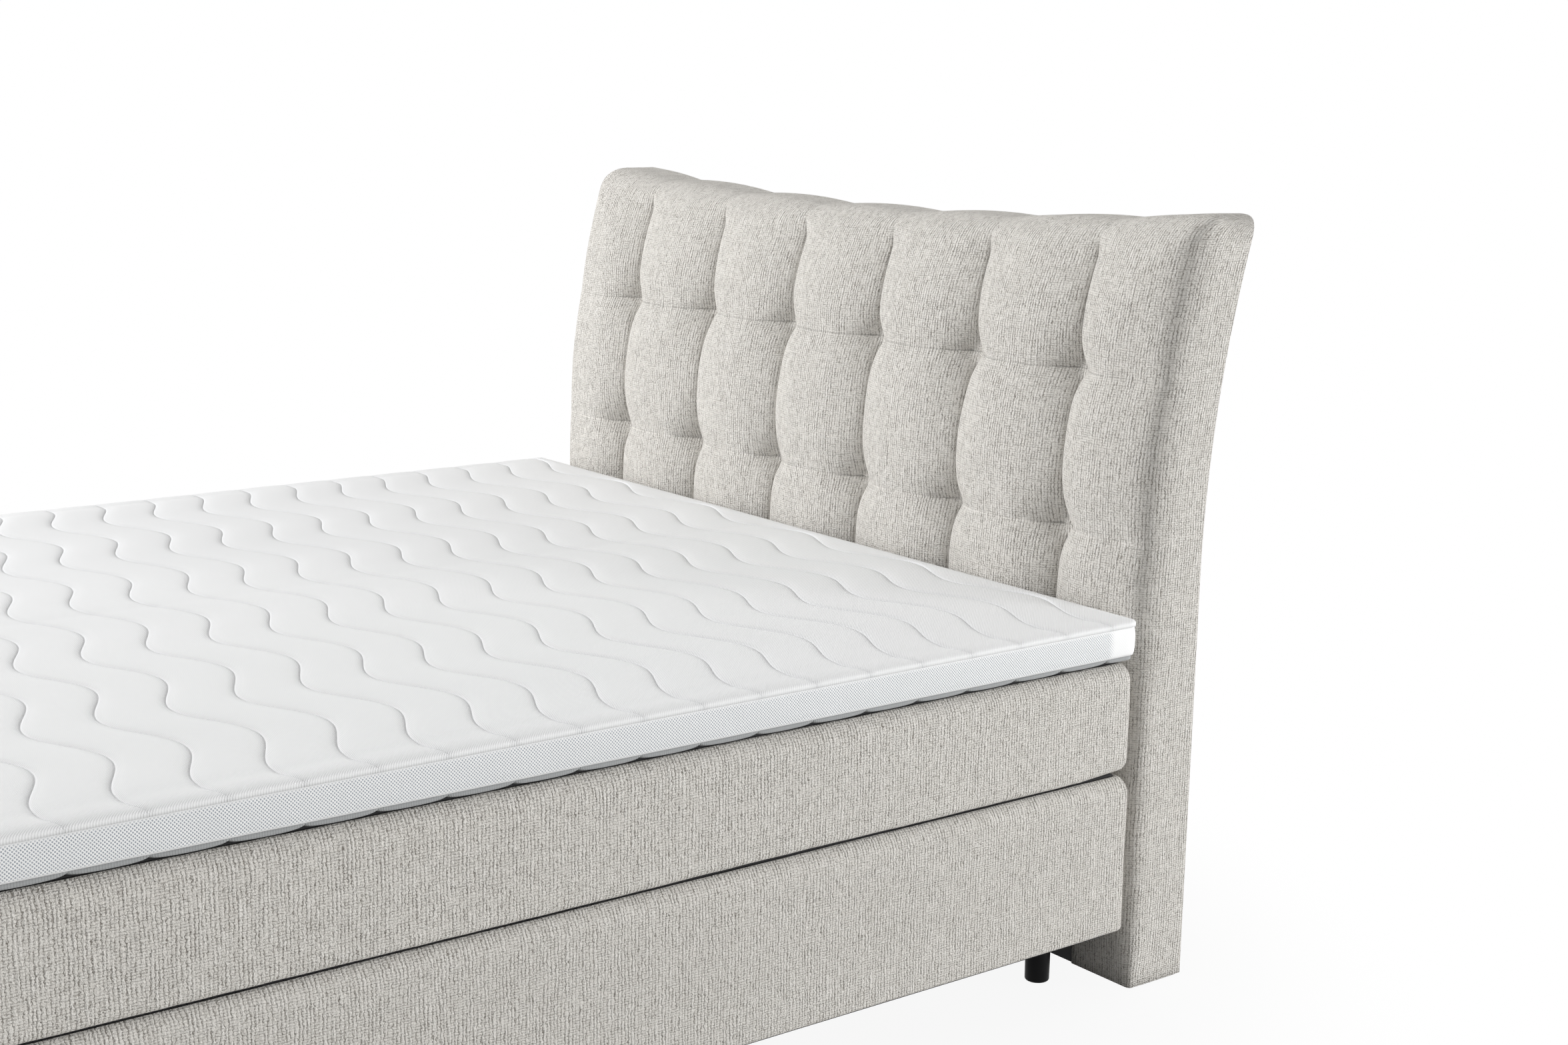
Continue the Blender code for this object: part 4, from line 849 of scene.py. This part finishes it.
def roundedOutline(halfX, halfY, corner, step):
    # Points, outward directions and lengths round a rectangle with round corners, from the head end's middle
    points, away = [], []
    cornerSteps = max(6, round(corner * math.pi / 2 / (step * 0.45)))
    here = np.array((0.0, -halfY))
    for quarter, way in enumerate(((1, -1), (1, 1), (-1, 1), (-1, -1))):
        angles = math.pi / 2 * (quarter - 1 + np.arange(cornerSteps + 1) / cornerSteps)
        arc = np.column_stack([np.cos(angles), np.sin(angles)])
        turn = np.array(way) * (halfX - corner, halfY - corner) + corner * arc
        spans = max(1, round(math.dist(here, turn[0]) / step))
        points += [here + (turn[0] - here) * k / spans for k in range(spans)] + list(turn[:-1])
        away += [arc[0]] * spans + list(arc[:-1])
        here = turn[-1]
    spans = max(1, round(abs(here[0]) / step))
    points += [(here[0] * (1 - k / spans), -halfY) for k in range(spans)] + [(-clothSeam, -halfY)]
    away += [(0.0, -1.0)] * (spans + 1)
    points, away = -np.array(points), -np.array(away)
    lengths = np.linalg.norm(np.diff(points, axis=0, append=points[:1]), axis=1)
    return points, away, np.concatenate([[0.0], np.cumsum(lengths)[:-1]])


def roundFall(steps):
    # Shares of a quarter round from the side to the flat: how far in, how far along
    angles = [math.pi / 2 * k / steps for k in range(steps + 1)]
    return [(1 - math.cos(angle), math.sin(angle)) for angle in angles]


def blockRing(outline, away, inset, z, centre):
    # Deeper in than the corner's radius, the ring's corner is square
    inset = np.asarray(inset).reshape(-1, 1)
    limit = np.abs(outline).max(axis=0) - inset
    ring = np.clip(outline - away * inset, -limit, limit)
    return np.column_stack([ring[:, 0] + centre[0], ring[:, 1] + centre[1], np.broadcast_to(z, len(ring))])


sewing = dict(
    step=0.018,  # from point to point round a block
    lowSteps=7,  # up the rounded lower edge
    endFrom=0.11,  # a block's lower edge grows rounder towards its two ends
    endReach=0.09,
    seamIn=0.0015,  # the cover dips into its seam
    seamDown=0.0010,
    panelIn=0.0022,  # and the panel comes out of it
    panelDown=0.0012,
    tuck=0.004,
    apart=0.001,
    cloth=0.002,
    panel=0.0012,
    topHills=0.003,
    hillLength=0.34,
    rippleLength=0.09,
    sagLength=0.80,
    gatherLength=0.0135,
    gatherWander=0.20,
    topHillLength=0.30,
)


def paddedBlock(name, s, body, node, seed):
    # The upholstery goes up the sides and over the edge; a plain panel is sewn to it on the shoulder
    low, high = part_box(node)
    centre = ((low.x + high.x) / 2, softMiddle)
    halfX, halfY = (high.x - low.x) / 2 - s["slack"], softHead - softMiddle - s["slack"]
    outline, away, length = roundedOutline(halfX, halfY, s["corner"], sewing["step"])
    count = len(outline)
    nearEnd = smooth((np.abs(outline[:, 1]) - (halfY - sewing["endFrom"])) / sewing["endReach"])
    lowRound = s["lowRound"] + (s["lowEndRound"] - s["lowRound"]) * nearEnd
    topRound = np.full(count, s["topRound"])
    sideLow, sideHigh = low.z + lowRound, high.z - topRound
    profile = []
    for across, down in reversed(roundFall(sewing["lowSteps"])):
        profile.append((lowRound * across, sideLow - lowRound * down, 0.0))
    for share in np.linspace(0, 1, 13)[1:-1]:
        profile.append((0.0 * lowRound, sideLow + (sideHigh - sideLow) * share, math.sin(math.pi * share)))
    shoulder = []
    for across, down in roundFall(14):
        level = (topRound * across, sideHigh + topRound * down, 0.0)
        (profile if s["topRound"] * across <= s["seam"] else shoulder).append(level)
    profile.append((topRound * 0 + s["seam"] + sewing["seamIn"], profile[-1][1] - sewing["seamDown"], 0.0))
    points, cloth = [], []
    travelled = np.zeros(count)
    for level, (inset, z, loose) in enumerate(profile):
        hills = waver(length, z, sewing["hillLength"], seed) * s["hills"]
        hills = hills + waver(length, z * 2, sewing["rippleLength"], seed + 1) * s["ripples"]
        sag = s["sag"] * waver(length, z * 0, sewing["sagLength"], seed + 3)
        edge = 0.35 + 0.65 * loose
        lift = sag * max(0.0, 1 - level / sewing["lowSteps"])
        wander = 3 * waver(length, z * 0, sewing["gatherWander"], seed)
        gathers = s["gathers"] * np.sin(length / sewing["gatherLength"] + wander) * (1 - loose)
        ring = blockRing(outline, away, inset - (hills * edge + gathers), z + np.maximum(0.0, lift), centre)
        if level:
            travelled = travelled + np.linalg.norm(ring - points[-1], axis=1)
        points.append(ring)
        cloth.append(np.column_stack([length, travelled, np.full(count, seed * 1.37)]))
    faces = ringFaces(len(points), count)
    piece = addPiece(name, np.concatenate(points), faces, "upholstery", body, [node], np.concatenate(cloth))
    thicken(piece, sewing["cloth"])
    blockPanel(name + "_panel", s, body, node, centre, outline, away, shoulder, high.z, seed)


def blockPanel(name, s, body, node, centre, outline, away, shoulder, high, seed):
    count = len(outline)
    first = s["seam"] + sewing["panelIn"]
    start = high - fallAt(np.array(s["topRound"] - first), s["topRound"]) - sewing["panelDown"]
    levels = [(np.full(count, first), start - sewing["tuck"]), (np.full(count, first), start)]
    levels += [(inset, z) for inset, z, _ in shoulder if inset[0] > first + sewing["apart"]]
    rings = [blockRing(outline, away, inset, z, centre) for inset, z in levels]
    seam = rings[-1][:, :2] - np.array(centre)
    spread = np.abs(seam).max(axis=0)
    spare = abs(spread[1] - spread[0])
    spine = np.zeros_like(seam)
    longWay = int(spread[1] >= spread[0])
    spine[:, longWay] = np.clip(seam[:, longWay], -spare, spare)
    for share in (0.02, 0.05, 0.10, 0.17, 0.26, 0.38, 0.5, 0.62, 0.75, 0.88, 1.0):
        flat = seam * (1 - share) + spine * share
        hills = 0.5 + 0.5 * waver(flat[:, 0], flat[:, 1], sewing["topHillLength"], seed + 4)
        drop = hills * sewing["topHills"] * min(1.0, share * 10)
        rings.append(np.column_stack([flat[:, 0] + centre[0], flat[:, 1] + centre[1], high - drop]))
    faces = ringFaces(len(rings), count)
    # The panel is black lining so that the slit between the blocks shows dark: painted shade in the gap
    panel = addPiece(name, np.concatenate(rings), faces, "black_lining", body, [node])
    thicken(panel, sewing["panel"])


print("boxes")
boxSet = dict(
    corner=0.014,
    lowRound=0.006,
    lowEndRound=0.008,
    topRound=0.036,
    seam=0.019,  # from the side's face to the panel's seam
    hills=0.0014,
    ripples=0.0004,
    gathers=0.0,
    sag=0.0,
    fill=0.95,
    slack=0.0,
)
for side, seed in (("left", 2), ("right", 5)):
    paddedBlock(f"boxUpholstery_{side}", boxSet, "root", f"box_{side}_cover", seed)

print("mattress")
mattressSet = dict(
    corner=0.018,
    lowRound=0.012,
    lowEndRound=0.022,
    topRound=0.037,
    seam=0.020,
    hills=0.0012,
    ripples=0.0005,
    gathers=0.0005,
    sag=0.0016,
    fill=0.9,
    slack=0.0015,  # the cover stands back this much, so that its hills stay inside the solid
)
paddedBlock("mattressUpholstery", mattressSet, "mattress", "mattress_cover", 8)


# Topper

print("topper")
topperSet = dict(
    half=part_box("topper_border")[1].x,
    corner=0.018,
    edgeHeight=0.005,
    puff=0.009,
    puffReach=0.045,
    channel=0.0036,
    valley=0.0013,  # a shallow valley runs along the rolled edge
    valleyFrom=0.044,
    valleyWidth=0.016,
    hills=0.0010,
    hillLength=0.42,
    foldMark=0.0009,  # the mark of a fold runs along the topper, close to its middle
    foldMarkPlace=-0.03,
    foldMarkWidth=0.012,
    rim=0.02,  # the grid is finer in this edge
    underInset=0.004,  # the lower panel starts this far in from the band
    lobe=0.010,
    lobeRound=0.020,
    bandStep=0.0125,
    bandBulge=0.0024,
    bandWrinkle=0.0003,
    bandWrinkleLength=0.07,
    bandThickness=0.0041,
)


def seamPlace(k, x):
    wave = quiltSet["swing"] * np.cos(math.tau * (x - quiltSet["crest"]) / quiltSet["wave"])
    return headEnd - quiltSet["first"] - k * quiltSet["pitch"] + wave


def halfWidthAt(y):
    corner = topperSet["corner"]
    into = np.maximum(corner - (softHead - y), corner - (y - footEnd))
    into = np.clip(into, 0.0, corner)
    return topperSet["half"] - corner + np.sqrt(corner**2 - into**2)


def quiltGrid():
    # Columns across, and rows that follow the wavy seams: x, y and how full the quilting is there
    half = topperSet["half"]
    flat = half - topperSet["rim"]
    rim = topperSet["rim"] * np.sin(np.linspace(0, math.pi / 2, 6))[1:]
    inner = np.linspace(-flat, flat, 190)
    xs = np.concatenate([[-half], -flat - rim[::-1][1:], inner, flat + rim[:-1], [half]])
    xs = np.unique(np.round(xs, 7))
    shares = [(1 - math.cos(math.pi * k / 16)) / 2 for k in range(16)]
    ys, fullness = [], []
    edges = [np.full_like(xs, softHead)] + [seamPlace(k, xs) for k in range(quiltSet["seams"])]
    edges.append(np.full_like(xs, footEnd))
    for k, (first, second) in enumerate(zip(edges, edges[1:])):
        for share in shares:
            ys.append(first + (second - first) * share)
            side = abs(2 * share - 1)
            open_ = 0.6 * max(0.0, 1 - side**7) ** 0.6 + 0.4 * (1 - side**2.2)
            if k == 0 and share < 0.5 or k == len(edges) - 2 and share > 0.5:
                open_ = 1.0
            fullness.append(open_)
    ys.append(edges[-1])
    fullness.append(1.0)
    y = np.array(ys).T
    half = halfWidthAt(y)
    x = np.repeat(xs[:, None], y.shape[1], axis=1) * half / topperSet["half"]
    return x, y, half, np.repeat(np.array(fullness)[None, :], len(xs), axis=0)


def hump(distance, width):
    return np.exp(-((distance / width) ** 2))


def quiltHeight(s, x, y, fromEdge, fullness):
    share = np.minimum(1.0, fromEdge / s["puffReach"])
    rise = s["puff"] * np.sqrt(1 - (1 - share) ** 2.2)
    drawn = s["channel"] * (1 - fullness) * np.minimum(1.0, share * 1.4 + 0.12)
    uneven = s["hills"] * waver(x, y, s["hillLength"], 11) * share
    foldMark = s["foldMark"] * hump(x - s["foldMarkPlace"], s["foldMarkWidth"]) * share
    valley = s["valley"] * hump(fromEdge - s["valleyFrom"], s["valleyWidth"])
    return rise - drawn + uneven - foldMark - valley


def quiltedPanel(name, points, closedAt, cloth, node):
    # A grid of points, closed by a flat face at one height
    columns, rows = points.shape[:2]
    rim = gridRim(columns, rows)
    flat, worn = points.reshape(-1, 3), cloth.reshape(-1, 3)
    back = flat[rim].copy()
    back[:, 2] = closedAt
    numbers = list(range(len(flat), len(flat) + len(rim)))
    faces = gridFaces(columns, rows) + loopFaces(rim, numbers) + [tuple(numbers)]
    allPoints, allCloth = np.concatenate([flat, back]), np.concatenate([worn, worn[rim]])
    piece = addPiece(name, allPoints, faces, "topper_knit", "topper", [node], allCloth, turn=True)


def makeTopperPanels(s):
    x, y, half, fullness = quiltGrid()
    fromEdge = np.maximum(0.0, np.minimum(np.minimum(half - np.abs(x), softHead - y), y - footEnd))
    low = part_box("topper_top_panel")[0].z
    height = low + s["edgeHeight"] + quiltHeight(s, x, y, fromEdge, fullness)
    cloth = np.stack([x, y, np.zeros_like(x)], axis=2)
    quiltedPanel("topperQuilt", np.stack([x, y, height], axis=2), low, cloth, "topper_top_panel")
    low, high = (corner.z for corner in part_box("topper_bottom_panel"))
    share = np.minimum(1.0, fromEdge / s["lobeRound"])
    lobe = s["lobe"] * (0.66 + 0.34 * np.sqrt(1 - (1 - share) ** 2))
    drawn = (1 - fullness) * s["lobe"] * 0.55
    drawnIn = 1 - s["underInset"] / s["half"]
    under = [x * drawnIn, softMiddle + (y - softMiddle) * drawnIn, np.maximum(low, high - lobe + drawn)]
    # The cloth's third number is 1 where the knit is seen from below; the knit is painted darker there, as
    # painted shade under the topper's edge
    quiltedPanel("topperUnderside", np.stack(under, axis=2), high, cloth + [0, 0, 1], "topper_bottom_panel")


def makeTopperBand(s):
    low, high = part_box("topper_border")
    outline, away, length = roundedOutline(s["half"], softHead - softMiddle, s["corner"], s["bandStep"])
    count = len(outline)
    profile = []
    for k in range(13):
        share = k / 12
        profile.append((s["bandBulge"] * abs(2 * share - 1) ** 3, low.z + (high.z - low.z) * share))
    profile += [(s["bandThickness"], high.z), (s["bandThickness"], low.z)]
    points, cloth = [], []
    for inset, z in profile:
        wrinkle = waver(length, z, s["bandWrinkleLength"], 14) * s["bandWrinkle"]
        ring = outline - away * np.maximum(0.0, inset - wrinkle)[:, None]
        points.append(np.column_stack([ring[:, 0], ring[:, 1] + softMiddle, np.full(count, z)]))
        cloth.append(np.column_stack([length, np.full(count, z), np.zeros(count)]))
    faces = ringFaces(len(profile), count, closed=True)
    band = addPiece(
        "topperBand", np.concatenate(points), faces, "topper_mesh", "topper", ["topper_border"],
        np.concatenate(cloth), place=True, turn=True,
    )


makeTopperPanels(topperSet)
makeTopperBand(topperSet)


# Feet

print("feet")
footSet = dict(
    topRadius=0.0225,
    lowRadius=0.0205,
    round=0.0035,
    sole=((0.004, 0.0008), (0.003, 0.0)),  # inside the round: how far in, how high
    topEdge=((0.0008, 0.0012), (0.0014, 0.0003), (0.0020, 0.0)),  # how far in, how far down
    stud=0.004,
    sides=64,
)


def makeFoot(s, side, end, place):
    name = f"box_{side}_foot_{end}_{place}"
    low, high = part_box(name)
    centre = ((low.x + high.x) / 2, (low.y + high.y) / 2)
    carrier = f"box_connector_{end}" if place == "inner" else "box_left_bottom_lining"
    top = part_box(carrier)[0].z - seatGap
    # The profile gives radius and height, from the sole to the top
    profile = [(s["lowRadius"] - s["round"] - inset, height) for inset, height in s["sole"]]
    for across, along in reversed(roundFall(5)):
        profile.append((s["lowRadius"] - s["round"] * across, s["round"] * (1 - along)))
    profile += [(s["topRadius"] - inset, top - drop) for inset, drop in s["topEdge"]]
    profile += [(s["stud"], top), (s["stud"], high.z)]
    sides = s["sides"]
    points = [(centre[0] + r * x, centre[1] + r * y, z) for r, z in profile for x, y in circle(sides)]
    faces = ringFaces(len(profile), sides) + [tuple(reversed(range(sides)))]
    faces.append(tuple((len(profile) - 1) * sides + k for k in range(sides)))
    foot = addPiece(f"foot_{side}_{end}_{place}", points, faces, "black_plastic", "root", [name], turn=True)
    foot.data.set_sharp_from_angle(angle=math.radians(50))


for side in ("left", "right"):
    for end in ("head", "foot"):
        for place in ("inner", "outer"):
            makeFoot(footSet, side, end, place)


# Headboard's back

print("back lining")
liningSet = dict(
    inset=0.010,
    topInset=0.012,
    thickness=0.0009,
    clearance=0.0003,
    slackReach=0.08,  # this far in from its edge, the lining hangs free of the timber
    loose=0.0008,
    hills=0.0011,
    hillLength=0.30,
    staplePitch=0.055,
    stapleInset=0.006,
    stapleLow=0.04,  # to the lowest staple of a side
    stapleWidth=0.012,
    wireHalf=0.0005,
    wireHeight=0.0007,
    wireGap=0.0001,
)


def makeBackLining(s):
    half = board["half"] - s["inset"]
    xs = np.linspace(-half, half, 61)
    shares = np.linspace(0, 1, 47)
    low = board["bottom"] + s["inset"]
    z = np.array([low + (topEdge(x) - s["topInset"] - low) * shares for x in xs])
    x = np.repeat(xs[:, None], z.shape[1], axis=1)
    edge = np.minimum(np.minimum(half - np.abs(x), z - low), topEdge(x) - s["topInset"] - z)
    slack = smooth(edge / s["slackReach"])
    out = s["loose"] + s["hills"] * (1 + waver(x, z, s["hillLength"], 21)) * slack
    # The upper corners are drawn onto the corner's curve
    outX = np.maximum(0.0, np.abs(x) - (board["half"] - board["edgeRound"]))
    outZ = np.maximum(0.0, z - (topEdge(x) - board["edgeRound"]))
    reach = np.maximum(1e-9, np.hypot(outX, outZ))
    pulled = np.minimum(1.0, (board["edgeRound"] - s["inset"]) / reach) - 1
    x, z = x + np.sign(x) * outX * pulled, z + outZ * pulled
    near = headEnd + board["back"] + s["clearance"] + lean(z)
    outer = np.stack([x, near + s["thickness"] + out * slack, z], axis=2)
    inner = np.stack([x, near + out * slack, z], axis=2)
    columns, rows = outer.shape[:2]
    points = np.concatenate([outer.reshape(-1, 3), inner.reshape(-1, 3)])
    size = columns * rows
    faces = [tuple(reversed(face)) for face in gridFaces(columns, rows)]
    faces += [tuple(size + k for k in face) for face in gridFaces(columns, rows)]
    rim = gridRim(columns, rows)
    faces += loopFaces(rim, [size + k for k in rim])
    lining = addPiece(
        "headboardBackLining", points, faces, "black_lining", "root", ["headboard_back_lining"], turn=True,
    )
    makeStaples(s, half, low)


def makeStaples(s, half, low):
    places = []
    side = half - s["stapleInset"]
    for x in np.arange(-side, side, s["staplePitch"]):
        if abs(x) < board["half"] - board["edgeRound"]:
            places.append((x, topEdge(x) - s["topInset"] - s["stapleInset"], 0.0))
        places.append((x, low + s["stapleInset"], 0.0))
    for z in np.arange(low + s["stapleLow"], topEdge(side) - board["edgeRound"], s["staplePitch"]):
        places += [(-side, z, math.pi / 2), (side, z, math.pi / 2)]
    points, faces = [], []
    for number, (x, z, turn) in enumerate(places):
        turn += 0.12 * math.sin(number * 2.4)
        wayX, wayZ = math.cos(turn), math.sin(turn)
        front = headEnd + board["back"] + s["clearance"] + s["thickness"] + lean(np.array(z)) + s["wireGap"]
        first = len(points)
        for end in (-0.5, 0.5):
            for wayAcross, wayOut in ((-1, 0), (1, 0), (1, 1), (-1, 1)):
                along, across = end * s["stapleWidth"], wayAcross * s["wireHalf"]
                out = front + wayOut * s["wireHeight"]
                points.append((x + wayX * along - wayZ * across, out, z + wayZ * along + wayX * across))
        for face in ((0, 1, 2, 3), (7, 6, 5, 4), (0, 4, 5, 1), (1, 5, 6, 2), (2, 6, 7, 3), (3, 7, 4, 0)):
            faces.append(tuple(first + k for k in face))
    staples = addPiece("headboardStaples", points, faces, "zinc_steel", "root", turn=True)
    staples.data.set_sharp_from_angle(angle=math.radians(30))


makeBackLining(liningSet)


# Room

print("floor and light")
stageSet = dict(
    floorRadius=14.0,
    floorSides=96,
    floorColour=rgb(0.50, 0.50, 0.49),
    whiteFrom=1.1,
    whiteTo=1.8,
    shadowShare=0.08,
    floorDrop=0.0005,
    sky=0.56,
)


def makeFloor(s):
    radius, sides = s["floorRadius"], s["floorSides"]
    points = [(0.0, 0.0, 0.0)] + [(radius * x, radius * y, 0.0) for x, y in circle(sides)]
    faces = [(0, k + 1, (k + 1) % sides + 1) for k in range(sides)]
    mesh = bpy.data.meshes.new("floor")
    mesh.from_pydata(points, [], faces)
    floor = placed("floor", mesh)
    floor.location.z = floorLevel - s["floorDrop"]
    f = Finish("floor", Roughness=0.9, Specular_IOR_Level=0.0, Base_Color=s["floorColour"])
    glow = f.add("Emission", None, {"Color": rgb(1, 1, 1), "Strength": 1.0})
    x, y, _ = f.split(f.place())
    away = (x * x + y * y).sum("SQRT")
    white = f.ease(away, s["whiteFrom"], s["whiteTo"]) * s["shadowShare"] + (1 - s["shadowShare"])
    seen = f.add("LightPath")
    factor = white * seen["Is Camera Ray"].sum("MAXIMUM", seen["Is Glossy Ray"])
    mixed = f.add("MixShader", None, {0: factor, 1: Signal(f, f.shader.outputs[0]), 2: glow[0]})
    f.tree.links.new(mixed[0].socket, f.tree.nodes["Material Output"].inputs["Surface"])
    mesh.materials.append(f.material)


def makeSky(s):
    world = bpy.data.worlds.new("studio")
    bpy.context.scene.world = world
    world.use_nodes = True
    sky = Graph(world.node_tree)
    sky.tree.nodes.clear()
    white = sky.add("Background", None, {"Color": rgb(1, 1, 1), "Strength": 1.0})
    soft = sky.add("Background", None, {"Color": rgb(1.0, 0.995, 0.985), "Strength": s["sky"]})
    seen = sky.add("LightPath")
    factor = seen["Is Camera Ray"].sum("MAXIMUM", seen["Is Glossy Ray"])
    mixed = sky.add("MixShader", None, {0: factor, 1: soft[0], 2: white[0]})
    sky.add("OutputWorld", None, {"Surface": mixed[0]})


lamps = dict(
    left=dict(place=(-5.2, -4.6, 3.0), aim=(0.0, 0.6, 0.7), size=3.0, power=560.0),
    right=dict(place=(6.0, 6.0, 0.9), aim=(0.9, 0.3, 0.5), size=2.0, power=480.0),
    top=dict(place=(1.2, 0.2, 3.8), aim=(1.1, 0.2, 0.6), size=2.4, power=10.0),
)


def makeLamp(name, s):
    data = bpy.data.lights.new(name, "AREA")
    data.shape = "DISK"
    data.size = s["size"]
    data.energy = s["power"]
    lamp = placed(name, data)
    lamp.location = s["place"]
    lamp.rotation_euler = (Vector(s["aim"]) - Vector(s["place"])).to_track_quat("-Z", "Y").to_euler()


makeFloor(stageSet)
makeSky(stageSet)
for name, lamp in lamps.items():
    makeLamp(name, lamp)
bpy.context.scene.view_settings.view_transform = "Standard"

print("done")
